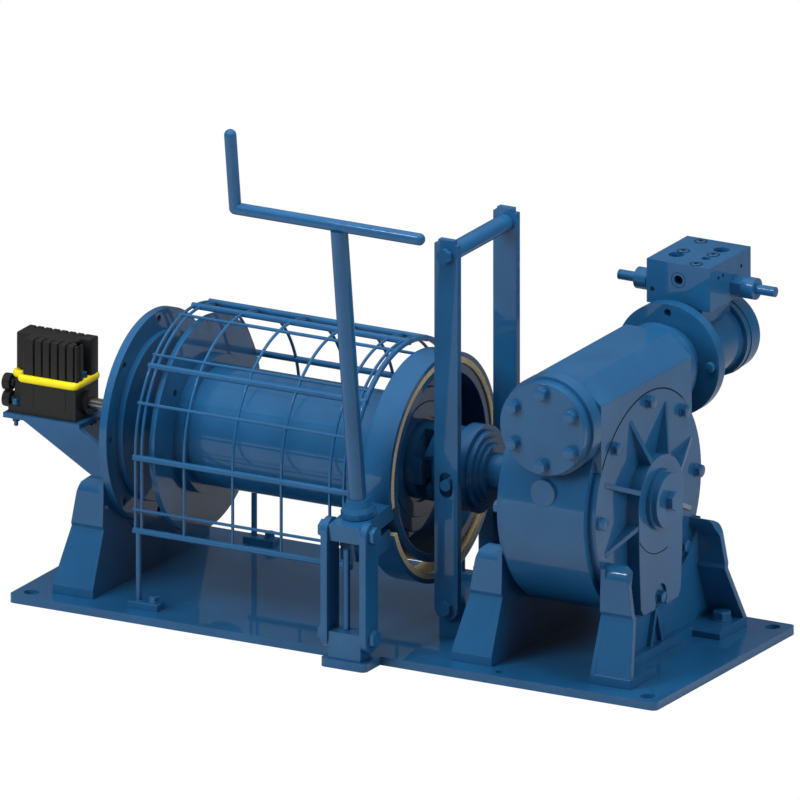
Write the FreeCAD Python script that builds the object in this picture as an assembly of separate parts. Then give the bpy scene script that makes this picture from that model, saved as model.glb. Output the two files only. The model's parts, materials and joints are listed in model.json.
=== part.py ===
"""Mooring winch on a base plate: rope drum, band brake, shift clutch, worm gearbox
and hydraulic motor.

Frame: +X runs along the drum axis from the limit switch to the gearbox, -Y is the
operator's side, +Z is up.  The origin is the centre of the base plate's underside.
Lengths are millimetres.
"""
import FreeCAD, Part
import math
import os

V = FreeCAD.Vector
X_AXIS = V(1, 0, 0)
Y_AXIS = V(0, 1, 0)
Z_AXIS = V(0, 0, 1)

# ---------------------------------------------------------------- base plate
plate_length = 1000.0
plate_width = 394.0
plate_thick = 12.0
plate_corner_r = 8.0
deck_hole_d = 21.0
deck_hole_inset_x = 24.0
deck_hole_inset_y = 22.0
drain_hole_d = 12.0
drain_hole_x = 248.0
drain_hole_inset_y = 20.0

# ---------------------------------------------------------------- drum line
axis_height = 231.0
run_gap = 0.05            # radial clearance of a running fit
seat_gap = 0.3            # clearance of a piece that lies on its seat

# ---------------------------------------------------------------- side casting
cast_web = 7.0            # thickness of the upright web below the ring
cast_ring_r = 147.0
gear_ring_r = 148.5
cast_ring_lap = 1.5       # how far the web laps over the ring's edge
cast_ring_thick = 11.5    # ring flange, inward of the web
cast_recess_r = 118.0
cast_recess_deep = 6.0
cast_foot_half = 163.5    # half span over the feet
cast_waist_half = 136.0   # half span at the step above the legs
cast_waist_drop = 124.0   # step of the leg below the drum axis
cast_shoulder_half = 134.0
cast_shoulder_drop = 81.0
cast_shoulder_r = 20.0
cast_foot_deep = 62.5     # how far the foot stands out from the web
cast_waist_deep = 49.0
cast_shoulder_deep = 42.0
cast_step = 3.0           # ledge where the leg narrows at its waist
cast_wall = 9.0
cast_pad_thick = 13.0
cast_pad_chamfer = 5.0
cast_pad_wide = 76.0
cast_boss_r = 62.0
cast_boss_deep = 19.8
cast_rib_thick = 7.0
cast_ribs = 8
cast_rib_reach = 131.0
cast_bolt_circle_r = 135.5
cast_bolt_holes = 8
cast_bolt_hole_d = 11.0
cast_panel_half = 56.0
cast_panel_drop = 153.0   # panel's lower edge below the drum axis
cast_notch_r = 15.0       # room for the bolt at the panel's lower edge
cast_notch_drop = 147.0
gusset_rib_thick = 6.0
gusset_rib_deep = 14.0
gusset_rib_spread = 16.0
foot_bolt_d = 14.0
foot_bolt_y = 138.0
foot_bolt_out = 38.0

pedestal_web_x = -387.7   # inner face of the left casting's web
gear_left_web_x = 228.2
gear_right_web_x = 380.2

# ---------------------------------------------------------------- gearbox
wheel_case_r = 160.0
worm_height = 134.3       # worm axis above the drum axis
worm_half = 68.0
worm_top = 61.0
worm_shoulder = 31.0
worm_low = 76.0           # housing's underside below the worm axis
worm_top_half = 34.0
worm_front_y = -132.0
worm_back_y = 178.0
worm_neck_r = 48.0
worm_neck_long = 28.0
worm_round_r = 60.5       # round rear end of the housing
worm_round_long = 28.0
worm_cover_r = 65.0
worm_cover_thick = 18.0
worm_collar_r = 70.0
worm_collar_thick = 24.0
worm_bolt_circle_r = 51.5
worm_bolts = 6
level_plug_r = 19.0
level_plug_up = 38.0
level_plug_proud = 5.0

# ---------------------------------------------------------------- motor
flange_r = 79.5
flange_thick = 17.0
flange_bolt_circle_r = 66.5
flange_bolts = 4
motor_front_r = 60.0
motor_front_long = 24.0
motor_mid_r = 50.0
motor_mid_long = 79.0
motor_rear_r = 57.0
motor_rear_long = 36.0
motor_pad_half = 30.0
block_length = 98.0
block_width = 114.0
block_height = 62.0
block_up = 66.2           # block's underside above the worm axis
block_front_gap = 13.0     # block's front face behind the flange
valve_hex = 27.0
valve_hex_long = 16.0
valve_body_r = 15.0
valve_body_long = 18.0
valve_stem_r = 7.0
valve_stem_long = 29.0
valve_left_y = 38.0       # from the block's front face
valve_right_y = 70.0
valve_up = 19.0

# ---------------------------------------------------------------- shaft and drum
shaft_r = 25.0
shaft_left_x = -40.0
end_disc_r = 42.0
end_disc_thick = 6.0
end_cap_r = 38.0
end_cap_thick = 8.0
end_bolt_hex = 24.0
end_bolt_thick = 10.0
barrel_r = 83.5
barrel_wall = 8.0
drum_flange_r = 150.0
drum_flange_thick = 8.0
drum_flange_x = -308.4    # outer face of the left flange
barrel_step_r = 96.0      # welded ring at the barrel's left end
barrel_step_long = 14.0
trunnion_r = 25.0
trunnion_hub_r = 42.0
trunnion_hub_long = 50.0
brake_drum_r = 137.0
brake_rim_thick = 12.0
brake_drum_x0 = 18.0      # outer face of the web, towards the flange
brake_web_thick = 12.0
brake_drum_x1 = 61.0
hub_r = 54.0
hub_root_x = 46.0
jaw_long = 12.0
jaw_inner_r = 31.0
jaw_count = 4
jaw_angle = 40.0

# ---------------------------------------------------------------- clutch
lever_x = 115.8
clutch_gap = 5.5          # between the jaws at rest
collar_core_r = 44.0
collar_flange_r = 54.0
collar_right_long = 8.0
collar_step_r = 46.0      # steps on the collar's right face
collar_step_long = 4.0
collar_nose_r = 38.0
collar_nose_long = 5.0
shift_ring_r = 61.0
shift_ring_width = 22.0
shift_gap = 0.5
shift_pin_r = 8.0
lever_half = 82.5         # bar's middle plane from the drum axis
lever_width = 36.0
lever_thick = 10.0
lever_pivot_z = 57.0
lever_top_up = 348.4      # lever's top above the drum axis
lever_slot_wide = 20.0
lever_slot_long = 36.0
lever_slot_drop = 0.0
lever_tube_r = 12.5
lever_tube_below_top = 21.5
lever_bolt_r = 8.0
lever_bolt_hex = 19.0
lever_bolt_thick = 9.0
pivot_r = 8.0
pivot_block_half_x = 16.0
pivot_block_thick = 16.0

# ---------------------------------------------------------------- band brake
band_x0 = 22.5
band_x1 = 63.1
lining_thick = 8.0
strap_thick = 6.5
band_rest_gap = 0.5       # upper lining above the brake drum
band_drop = 15.0          # how low the slack lower half hangs
band_upper_end = 10.8     # degrees below the front horizontal
band_lower_end = 21.0
band_back_upper = 5.0     # degrees above the back horizontal
band_back_lower = 20.0    # degrees below the back horizontal
brake_x = 39.4            # middle plane of the brake stand
spindle_tilt = 7.5        # degrees towards the operator
spindle_r = 12.0
spindle_y = -193.0        # at the height of the upper block's top
spindle_seat_drop = 24.0  # upper block's top below the drum axis
spindle_top = 424.0       # along the spindle from its seat
thread_r = 9.0
thread_long = 66.0
cone_r0 = 23.0
cone_r1 = 15.0
cone_high = 26.0
cone_base_high = 6.0
handle_r = 8.5
handle_left = 160.0
handle_right = 124.0
grip_high = 109.0
upper_block_half_x = 24.3
upper_block_thick = 24.0
upper_block_front = 42.0  # from the spindle axis towards the operator
upper_block_back = 52.0
nut_block_half_x = 22.0
nut_block_thick = 26.0
nut_block_half_y = 18.0
nut_block_back = 66.0
nut_gap = 12.0            # below the upper block's underside
stand_bar_wide = 35.2
stand_bar_thick = 9.7
stand_bar_y = -220.0
stand_top_drop = 23.4     # stand bars' top below the drum axis
stand_bar_bottom = 24.0
stand_pitch = 60.0        # between the bars' middle planes
stand_pivot_drop = 41.0   # upper stand bolt below the drum axis
stand_pivot_bottom_z = 44.0
stand_pin_r = 7.0
stand_bolt_hex = 22.0
stand_bolt_thick = 8.0
stand_block_high = 38.0
stand_rod_r = 5.0
stand_rod_x = -4.0
tab_length = 70.4
tab_out = 43.0

anchor_x = 42.8
anchor_wide = 24.0
anchor_thick = 12.0
anchor_y = 158.0          # front face of the rear anchor
anchor_lug_high = 22.0

# ---------------------------------------------------------------- rope guard
hoop_r = 162.0
hoop_rod_r = 2.2
hoop_heavy_r = 4.0
hoop_sides = 6            # sides of a rod's section
hoop_facets = 24          # straight runs in half a turn
rod_offset = 1.3          # how far outside the hoops the long rods lie
guard_x0 = -322.7
guard_twin = 9.5          # second hoop beside the left one
guard_pitch = 75.0
guard_hoops = 5
guard_x1 = 8.2
guard_end_twin = 9.0
guard_tube_r = 4.5
guard_lower_drop = 111.0  # lowest tube below the drum axis
guard_mid_drop = 7.5      # front tube below the drum axis
guard_low_rod_drop = 81.0
guard_rods = (102.0, 131.0, 156.0, 38.0, 9.0)
guard_tubes = (72.0, 89.0, 137.0, 20.0)
post_r = 3.6
post_pad_long = 35.0
post_pad_wide = 16.0
post_pad_thick = 10.0
post_pad_lead = 9.0       # post's axis to the pad's left end

# ---------------------------------------------------------------- limit switch
bracket_x0 = -596.0
bracket_x1 = -478.0
bracket_width = 76.0
bracket_thick = 7.0
bracket_drop = 20.4       # bracket's top below the drum axis
gusset_thick = 8.0
gusset_top_drop = 42.0
gusset_drop = 50.0
switch_length = 104.0
switch_width = 65.0
switch_base_high = 45.0
switch_notch = 18.0
switch_foot_high = 10.0
switch_band_high = 11.0
switch_band_proud = 3.0
switch_cap_high = 45.0
switch_cap_inset = 5.0
switch_crown_high = 6.0
switch_rib_pitch = 13.0
switch_rib_deep = 3.0
gland_r = 11.5
gland_long = 11.0
gland_neck_r = 6.0
gland_neck_long = 1.5 + switch_band_proud
gland_up = 12.2
gland_pitch = 23.5
gland_y = -12.0
stub_r = 8.0
coupling_r = 14.0
coupling_long = 22.0


# ---------------------------------------------------------------- heights worked out
cast_waist_z = axis_height - cast_waist_drop
cast_shoulder_z = axis_height - cast_shoulder_drop
lever_top_z = axis_height + lever_top_up
spindle_seat_z = axis_height - spindle_seat_drop
stand_bar_top = axis_height - stand_top_drop
stand_pivot_top_z = axis_height - stand_pivot_drop
guard_lower_z = axis_height - guard_lower_drop
bracket_top_z = axis_height - bracket_drop


def box(x0, x1, y0, y1, z0, z1):
    return Part.makeBox(x1 - x0, y1 - y0, z1 - z0, V(x0, y0, z0))


def cyl(axis, radius, start, length):
    return Part.makeCylinder(radius, length, start, axis)


def along_x(radius, x0, x1, y=0.0, z=axis_height):
    return cyl(X_AXIS, radius, V(x0, y, z), x1 - x0)


def along_y(radius, y0, y1, x, z):
    return cyl(Y_AXIS, radius, V(x, y0, z), y1 - y0)


def along_z(radius, z0, z1, x, y):
    return cyl(Z_AXIS, radius, V(x, y, z0), z1 - z0)


def prism(points, push):
    """Extrude a closed polygon of vectors along push."""
    return Part.Face(Part.makePolygon(points + [points[0]])).extrude(push)


def hexagon(axis, flats, centre, length, turn=0.0):
    """Hexagonal prism with the given distance over its flats."""
    radius = flats / math.sqrt(3.0)
    side = V(0, 0, 1) if abs(axis.z) < 0.9 else V(1, 0, 0)
    side = side - axis * side.dot(axis)
    side.normalize()
    other = axis.cross(side)
    corners = []
    for i in range(6):
        a = math.radians(60 * i + turn)
        corners.append(centre + side * (radius * math.cos(a)) + other * (radius * math.sin(a)))
    return prism(corners, axis * length)


def rim_point(x, radius, degrees, y=0.0, z=axis_height):
    """Point on a circle about the drum axis; 0 is the back, 90 is up, 180 the front."""
    a = math.radians(degrees)
    return V(x, y + radius * math.cos(a), z + radius * math.sin(a))


def arc_edge(x, radius, deg0, deg1, z=axis_height):
    mid = 0.5 * (deg0 + deg1)
    return Part.Arc(rim_point(x, radius, deg0, z=z), rim_point(x, radius, mid, z=z),
                    rim_point(x, radius, deg1, z=z)).toShape()


def ring_sector(x0, x1, r_in, r_out, deg0, deg1, z=axis_height):
    """Part of a tube about an X axis, between two angles."""
    outer = arc_edge(x0, r_out, deg0, deg1, z)
    inner = arc_edge(x0, r_in, deg1, deg0, z)
    close0 = Part.makeLine(rim_point(x0, r_out, deg1, z=z), rim_point(x0, r_in, deg1, z=z))
    close1 = Part.makeLine(rim_point(x0, r_in, deg0, z=z), rim_point(x0, r_out, deg0, z=z))
    return Part.Face(Part.Wire([outer, close0, inner, close1])).extrude(V(x1 - x0, 0, 0))


# ================================================================ base plate
def make_base_plate():
    plate = box(-plate_length / 2, plate_length / 2, -plate_width / 2, plate_width / 2,
                0, plate_thick)
    tab = box(brake_x - tab_length / 2, brake_x + tab_length / 2,
              -plate_width / 2 - tab_out, -plate_width / 2 + 1, 0, plate_thick)
    plate = plate.fuse(tab).removeSplitter()
    upright = [e for e in plate.Edges
               if abs(e.BoundBox.ZLength - plate_thick) < 0.01 and e.BoundBox.XLength < 0.01
               and not (abs(e.BoundBox.XMin) < plate_length / 2 - 1
                        and e.BoundBox.YMin > -plate_width / 2 - 1)]
    plate = plate.makeFillet(plate_corner_r, upright)
    for sx in (-1, 1):
        for sy in (-1, 1):
            hole = along_z(deck_hole_d / 2, -1, plate_thick + 1,
                           sx * (plate_length / 2 - deck_hole_inset_x),
                           sy * (plate_width / 2 - deck_hole_inset_y))
            plate = plate.cut(hole)
    for sy in (-1, 1):
        drain = along_z(drain_hole_d / 2, -1, plate_thick + 1, drain_hole_x,
                        sy * (plate_width / 2 - drain_hole_inset_y))
        plate = plate.cut(drain)
    return plate


# ================================================================ side casting
def leg_outline():
    """Outer side of the leg from the foot pad up to its shoulder, as (half span, Z)."""
    return [(cast_foot_half, plate_thick + cast_pad_thick),
            (cast_waist_half - cast_step, cast_waist_z - 2 * cast_step),
            (cast_waist_half, cast_waist_z),
            (cast_shoulder_half, cast_shoulder_z)]


def casting_web(ring_r):
    """A-shaped web below the ring, lapping over the ring's edge."""
    top_z = axis_height - math.sqrt(ring_r ** 2 - cast_shoulder_half ** 2)
    side = [(cast_foot_half, plate_thick)] + leg_outline() + [(cast_shoulder_half, top_z)]
    points = [V(0, y, z) for y, z in side] + [V(0, -y, z) for y, z in reversed(side)]
    web = prism(points, V(cast_web, 0, 0))
    return web.cut(along_x(ring_r - cast_ring_lap, -1, cast_web + 1))


def casting_leg(side):
    """Flared outer wall of one leg with its foot pad, standing out from the web."""
    top_z = cast_shoulder_z + cast_shoulder_r
    outer = [V(0, y, z) for y, z in leg_outline()]
    outer[0] = V(0, cast_foot_half, plate_thick + cast_pad_thick - 1)
    crest = V(0, cast_shoulder_half - cast_shoulder_r, top_z)
    bend = Part.Arc(outer[-1],
                    V(0, cast_shoulder_half - 0.293 * cast_shoulder_r,
                      cast_shoulder_z + 0.707 * cast_shoulder_r), crest).toShape()
    inner = [V(0, crest.y, top_z - cast_wall),
             V(0, cast_shoulder_half - cast_wall, cast_shoulder_z - 4)]
    inner += [V(0, v.y - cast_wall, v.z) for v in reversed(outer[:-1])]
    edges = [Part.makeLine(a, b) for a, b in zip(outer, outer[1:])] + [bend]
    chain = [crest] + inner + [outer[0]]
    edges += [Part.makeLine(a, b) for a, b in zip(chain, chain[1:])]
    wall = Part.Face(Part.Wire(edges)).extrude(V(cast_foot_deep, 0, 0))
    profile = [V(0, 0, 0), V(cast_foot_deep, 0, 0), V(cast_foot_deep, 0, outer[0].z),
               V(cast_waist_deep, 0, cast_waist_z), V(cast_shoulder_deep, 0, cast_shoulder_z),
               V(cast_shoulder_deep - 4, 0, cast_shoulder_z + 0.7 * cast_shoulder_r),
               V(cast_shoulder_deep - 12, 0, top_z + 1), V(0, 0, top_z + 1)]
    leg = wall.common(prism(profile, V(0, cast_foot_half + 1, 0))).fuse(casting_pad())
    if side < 0:
        leg = leg.mirror(V(0, 0, 0), Y_AXIS)
    return leg


def casting_pad():
    """Chamfered foot pad with its bolt hole."""
    z0 = plate_thick
    z1 = plate_thick + cast_pad_thick
    y0 = cast_foot_half - cast_pad_wide
    pad = box(0, cast_foot_deep, y0, cast_foot_half, z0, z1)
    low = z1 - cast_pad_chamfer
    wedge = prism([V(0, y0 - 1, low), V(0, y0 - 1, z1 + 1), V(0, y0 + cast_pad_chamfer, z1 + 1),
                   V(0, y0 + cast_pad_chamfer, z1), V(0, y0, low)], V(cast_foot_deep, 0, 0))
    pad = pad.cut(wedge)
    return pad.cut(along_z(foot_bolt_d / 2, z0 - 1, z1 + 1, foot_bolt_out, foot_bolt_y))


def casting_rib(degrees):
    """Triangular rib from the boss out to the ring, full height at the boss."""
    rib = prism([V(-2, 0, cast_boss_r - 6), V(cast_boss_deep, 0, cast_boss_r - 6),
                 V(cast_boss_deep, 0, cast_boss_r), V(0.5, 0, cast_rib_reach),
                 V(-2, 0, cast_rib_reach)], V(0, cast_rib_thick, 0))
    rib.translate(V(0, -cast_rib_thick / 2, axis_height))
    rib.rotate(V(0, 0, axis_height), X_AXIS, degrees)
    return rib


def casting_panel():
    """Upright below the boss, with room at its lower edge for a ring bolt."""
    low = axis_height - cast_panel_drop
    side = [(cast_boss_r, axis_height), (cast_panel_half + 4, 0.5 * (axis_height + low)),
            (cast_panel_half, low + 10), (cast_panel_half - 8, low)]
    points = [V(-2, y, z) for y, z in side] + [V(-2, -y, z) for y, z in reversed(side)]
    panel = prism(points, V(cast_boss_deep + 2, 0, 0))
    bolt_z = axis_height - cast_bolt_circle_r
    notch = along_x(cast_notch_r, 0, cast_boss_deep + 1, 0, bolt_z)
    notch = notch.fuse(box(0, cast_boss_deep + 1, -cast_notch_r, cast_notch_r, low - 1, bolt_z))
    return panel.cut(notch)


def casting_base(ring_r):
    """Ledge between the foot pads, and the pair of small ribs that stand on it."""
    top = plate_thick + cast_pad_thick
    reach = cast_foot_half - cast_pad_wide + 1
    base = box(0, cast_boss_deep, -reach, reach, plate_thick, top)
    crest = axis_height - ring_r - gusset_rib_thick
    half = gusset_rib_thick / 2
    for side in (-1, 1):
        foot = side * gusset_rib_spread
        base = base.fuse(prism([V(0, -half, crest), V(0, half, crest), V(0, foot + half, top - 1),
                                V(0, foot - half, top - 1)], V(gusset_rib_deep, 0, 0)))
    return base


def make_casting(bore_r, ring_r, recess):
    """Bearing casting with its web at X = 0 and its legs towards +X."""
    body = along_x(ring_r, -cast_ring_thick, 0)
    if recess:
        body = body.cut(along_x(cast_recess_r, -cast_ring_thick - 1,
                                -cast_ring_thick + cast_recess_deep))
    body = body.fuse(casting_web(ring_r))
    for side in (-1, 1):
        body = body.fuse(casting_leg(side))
    body = body.fuse(casting_base(ring_r))
    body = body.fuse(casting_panel())
    body = body.fuse(along_x(cast_boss_r, -2, cast_boss_deep))
    for i in range(cast_ribs):
        degrees = (i + 0.5) * 360.0 / cast_ribs
        if abs(degrees - 180) > 45:
            body = body.fuse(casting_rib(degrees))
    body = body.cut(along_x(bore_r, -cast_ring_thick - 1, cast_boss_deep + 1))
    for i in range(cast_bolt_holes):
        at = rim_point(0, cast_bolt_circle_r, i * 360.0 / cast_bolt_holes)
        body = body.cut(along_x(cast_bolt_hole_d / 2, -cast_ring_thick - 1, 1, at.y, at.z))
    return body.removeSplitter()


def place_casting(shape, web_x, outward):
    if outward < 0:
        shape = shape.mirror(V(0, 0, 0), X_AXIS)
    shape.translate(V(web_x, 0, 0))
    return shape


def make_left_pedestal():
    return place_casting(make_casting(trunnion_r + run_gap, cast_ring_r, True),
                         pedestal_web_x, -1)


def make_gear_cover_left():
    return place_casting(make_casting(shaft_r + run_gap, gear_ring_r, False),
                         gear_left_web_x, -1)


def make_gear_cover_right():
    return place_casting(make_casting(shaft_r + run_gap, gear_ring_r, False),
                         gear_right_web_x, 1)


# ================================================================ gearbox
gear_mid_x = 0.5 * (gear_left_web_x + gear_right_web_x)
worm_x = gear_right_web_x - worm_half
worm_z = axis_height + worm_height
case_x0 = gear_left_web_x + cast_ring_thick
case_x1 = gear_right_web_x - cast_ring_thick


def make_gear_case():
    """Wheel case with the worm housing across its top."""
    wheel = along_x(wheel_case_r, case_x0, case_x1)
    section = [V(-worm_half, 0, -worm_low), V(worm_half, 0, -worm_low),
               V(worm_half, 0, worm_shoulder), V(worm_top_half, 0, worm_top),
               V(-worm_top_half, 0, worm_top), V(-worm_half, 0, worm_shoulder)]
    neck_y = worm_back_y - worm_neck_long
    round_y = neck_y - worm_round_long
    housing = prism(section, V(0, round_y - worm_front_y, 0))
    housing.translate(V(worm_x, worm_front_y, worm_z))
    case = wheel.fuse(housing)
    case = case.fuse(along_y(worm_round_r, round_y - 1, neck_y, worm_x, worm_z))
    case = case.fuse(along_y(worm_neck_r, neck_y - 1, worm_back_y, worm_x, worm_z))
    for web_x, sign in ((gear_left_web_x, -1), (gear_right_web_x, 1)):
        edge = case_x0 if sign < 0 else case_x1
        x0, x1 = sorted((edge, web_x + sign * (cast_web + 40)))
        case = case.cut(along_x(gear_ring_r + seat_gap, x0, x1))
    plug = along_y(level_plug_r, -wheel_case_r + 2, -wheel_case_r + 2 + 30, gear_mid_x,
                   axis_height + level_plug_up)
    plug.translate(V(0, -level_plug_proud + 4, 0))
    case = case.fuse(plug)
    case = case.cut(along_x(shaft_r + run_gap, case_x0 - 1, case_x1 + 1))
    case = case.cut(along_y(worm_collar_r + seat_gap,
                            worm_front_y - worm_collar_thick - worm_cover_thick,
                            worm_front_y, worm_x, worm_z))
    return case.removeSplitter()


def make_worm_cover():
    y = worm_front_y
    cover = along_y(worm_collar_r, y - worm_collar_thick, y, worm_x, worm_z)
    cover = cover.fuse(along_y(worm_cover_r, y - worm_collar_thick - worm_cover_thick,
                               y - worm_collar_thick + 1, worm_x, worm_z))
    return cover.removeSplitter()


# ================================================================ motor
def make_motor_flange():
    y = worm_back_y
    flange = along_y(flange_r, y, y + flange_thick, worm_x, worm_z)
    for i in range(flange_bolts):
        a = math.radians(i * 360.0 / flange_bolts)
        hole = along_y(5.5, y - 1, y + flange_thick + 1,
                       worm_x + flange_bolt_circle_r * math.cos(a),
                       worm_z + flange_bolt_circle_r * math.sin(a))
        flange = flange.cut(hole)
    return flange


def make_motor():
    y0 = worm_back_y + flange_thick
    y1 = y0 + motor_front_long
    y2 = y1 + motor_mid_long
    y3 = y2 + motor_rear_long
    motor = along_y(motor_front_r, y0, y1 + 1, worm_x, worm_z)
    motor = motor.fuse(along_y(motor_mid_r, y1, y2 + 1, worm_x, worm_z))
    motor = motor.fuse(along_y(motor_rear_r, y2, y3, worm_x, worm_z))
    pad = box(worm_x - motor_pad_half, worm_x + motor_pad_half, y1, y2,
              worm_z, worm_z + block_up)
    return motor.fuse(pad).removeSplitter()


def block_corner():
    return V(worm_x - block_length / 2, worm_back_y + flange_thick + block_front_gap,
             worm_z + block_up)


def make_valve_block():
    c = block_corner()
    block = box(c.x, c.x + block_length, c.y, c.y + block_width, c.z, c.z + block_height)
    for fx, fy, r in ((0.28, 0.3, 11.0), (0.72, 0.72, 11.0), (0.72, 0.34, 6.5)):
        block = block.cut(along_z(r, c.z + block_height - 14, c.z + block_height + 1,
                                  c.x + fx * block_length, c.y + fy * block_width))
    block = block.cut(along_y(6.5, c.y - 1, c.y + 14, c.x + 0.5 * block_length,
                              c.z + 0.62 * block_height))
    return block


def make_cartridge(side):
    """Cartridge valve in one end of the block; side is -1 left, 1 right."""
    c = block_corner()
    y = c.y + (valve_left_y if side < 0 else valve_right_y)
    z = c.z + valve_up
    x = c.x if side < 0 else c.x + block_length
    axis = V(side, 0, 0)
    base = V(x, y, z)
    valve = hexagon(axis, valve_hex, base, valve_hex_long)
    valve = valve.fuse(cyl(axis, valve_body_r, base + axis * (valve_hex_long - 1),
                           valve_body_long + 1))
    valve = valve.fuse(cyl(axis, valve_stem_r,
                           base + axis * (valve_hex_long + valve_body_long - 1),
                           valve_stem_long + 1))
    return valve.removeSplitter()


# ================================================================ output shaft
shaft_right_x = gear_right_web_x + cast_boss_deep + run_gap * 4


def make_output_shaft():
    return along_x(shaft_r, shaft_left_x, shaft_right_x)


def make_shaft_end():
    x = shaft_right_x
    end = along_x(end_disc_r, x, x + end_disc_thick)
    end = end.fuse(along_x(end_cap_r, x + end_disc_thick - 1, x + end_disc_thick + end_cap_thick))
    end = end.fuse(hexagon(X_AXIS, end_bolt_hex,
                           V(x + end_disc_thick + end_cap_thick - 1, 0, axis_height),
                           end_bolt_thick + 1))
    return end.removeSplitter()


# ================================================================ drum
barrel_x0 = drum_flange_x + drum_flange_thick


def make_drum_barrel():
    barrel = along_x(barrel_r, barrel_x0, brake_drum_x0)
    barrel = barrel.fuse(along_x(barrel_step_r, barrel_x0, barrel_x0 + barrel_step_long))
    barrel = barrel.cut(along_x(barrel_r - barrel_wall, barrel_x0 - 1, brake_drum_x0 + 1))
    return barrel.removeSplitter()


def make_drum_flange():
    flange = along_x(drum_flange_r, drum_flange_x, barrel_x0)
    flange = flange.fuse(along_x(trunnion_hub_r, drum_flange_x - 18,
                                 drum_flange_x + trunnion_hub_long))
    stub_end = pedestal_web_x - cast_boss_deep - 12
    return flange.fuse(along_x(trunnion_r, stub_end, drum_flange_x)).removeSplitter()


def jaws(x0, x1, phase):
    teeth = []
    for i in range(jaw_count):
        mid = phase + i * 360.0 / jaw_count
        teeth.append(ring_sector(x0, x1, jaw_inner_r, hub_r, mid - jaw_angle / 2,
                                 mid + jaw_angle / 2))
    return teeth


def make_brake_drum():
    web_x1 = brake_drum_x0 + brake_web_thick
    rim = along_x(brake_drum_r, brake_drum_x0, brake_drum_x1)
    rim = rim.cut(along_x(brake_drum_r - brake_rim_thick, web_x1, brake_drum_x1 + 1))
    hub = along_x(hub_r, shaft_left_x - 10, hub_root_x)
    drum = rim.fuse(hub)
    for tooth in jaws(hub_root_x - 1, hub_root_x + jaw_long, 0):
        drum = drum.fuse(tooth)
    drum = drum.cut(along_x(shaft_r + run_gap, shaft_left_x - 5, brake_drum_x1 + 10))
    return drum.removeSplitter()


# ================================================================ clutch
collar_jaw_x = hub_root_x + jaw_long + clutch_gap
collar_face_x = collar_jaw_x + jaw_long
ring_x0 = lever_x - shift_ring_width / 2
ring_x1 = lever_x + shift_ring_width / 2


def make_clutch_collar():
    collar = along_x(collar_flange_r, collar_face_x, ring_x0 - shift_gap)
    collar = collar.fuse(along_x(collar_core_r, ring_x0 - shift_gap - 1, ring_x1 + shift_gap + 1))
    collar = collar.fuse(along_x(collar_flange_r, ring_x1 + shift_gap,
                                 ring_x1 + shift_gap + collar_right_long))
    step_x = ring_x1 + shift_gap + collar_right_long
    collar = collar.fuse(along_x(collar_step_r, step_x - 1, step_x + collar_step_long))
    collar = collar.fuse(along_x(collar_nose_r, step_x - 1,
                                 step_x + collar_step_long + collar_nose_long))
    for tooth in jaws(collar_jaw_x, collar_face_x + 1, 180.0 / jaw_count):
        collar = collar.fuse(tooth)
    nose_x = step_x + collar_step_long + collar_nose_long
    return collar.cut(along_x(shaft_r + run_gap, collar_jaw_x - 1, nose_x + 1)).removeSplitter()


def make_shift_ring():
    ring = along_x(shift_ring_r, ring_x0, ring_x1)
    reach = lever_half + lever_thick / 2 + 3
    for side in (-1, 1):
        y0, y1 = sorted((side * (collar_core_r + 4), side * reach))
        ring = ring.fuse(along_y(shift_pin_r, y0, y1, lever_x, axis_height))
    return ring.cut(along_x(collar_core_r + shift_gap, ring_x0 - 1, ring_x1 + 1)).removeSplitter()


def lever_bar(side):
    y0 = side * lever_half - lever_thick / 2
    half = lever_width / 2
    bar = box(lever_x - half, lever_x + half, y0, y0 + lever_thick,
              lever_pivot_z, lever_top_z - 6)
    bar = bar.fuse(along_y(half, y0, y0 + lever_thick, lever_x, lever_pivot_z))
    bar = bar.fuse(box(lever_x - half + 6, lever_x + half - 6, y0, y0 + lever_thick,
                       lever_top_z - 10, lever_top_z))
    slot = box(lever_x - lever_slot_wide / 2, lever_x + lever_slot_wide / 2,
               y0 - 1, y0 + lever_thick + 1,
               axis_height - (lever_slot_long - lever_slot_wide) / 2,
               axis_height + (lever_slot_long - lever_slot_wide) / 2)
    for end in (-1, 1):
        slot = slot.fuse(along_y(lever_slot_wide / 2, y0 - 1, y0 + lever_thick + 1, lever_x,
                                 axis_height + end * (lever_slot_long - lever_slot_wide) / 2))
    bar = bar.cut(slot)
    for radius, z in ((pivot_r, lever_pivot_z),
                      (lever_bolt_r, lever_top_z - lever_tube_below_top)):
        bar = bar.cut(along_y(radius + run_gap, y0 - 1, y0 + lever_thick + 1, lever_x, z))
    return bar.removeSplitter()


def make_lever_tube():
    """Cross tube with the bolts that hold it between the bars."""
    inner = lever_half - lever_thick / 2
    face = lever_half + lever_thick / 2
    z = lever_top_z - lever_tube_below_top
    tube = along_y(lever_tube_r, -inner, inner, lever_x, z)
    tube = tube.fuse(along_y(lever_bolt_r, -face - 1, face + 1, lever_x, z))
    for side in (-1, 1):
        tube = tube.fuse(hexagon(V(0, side, 0), lever_bolt_hex, V(lever_x, side * face, z),
                                 lever_bolt_thick))
    return tube.removeSplitter()


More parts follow.
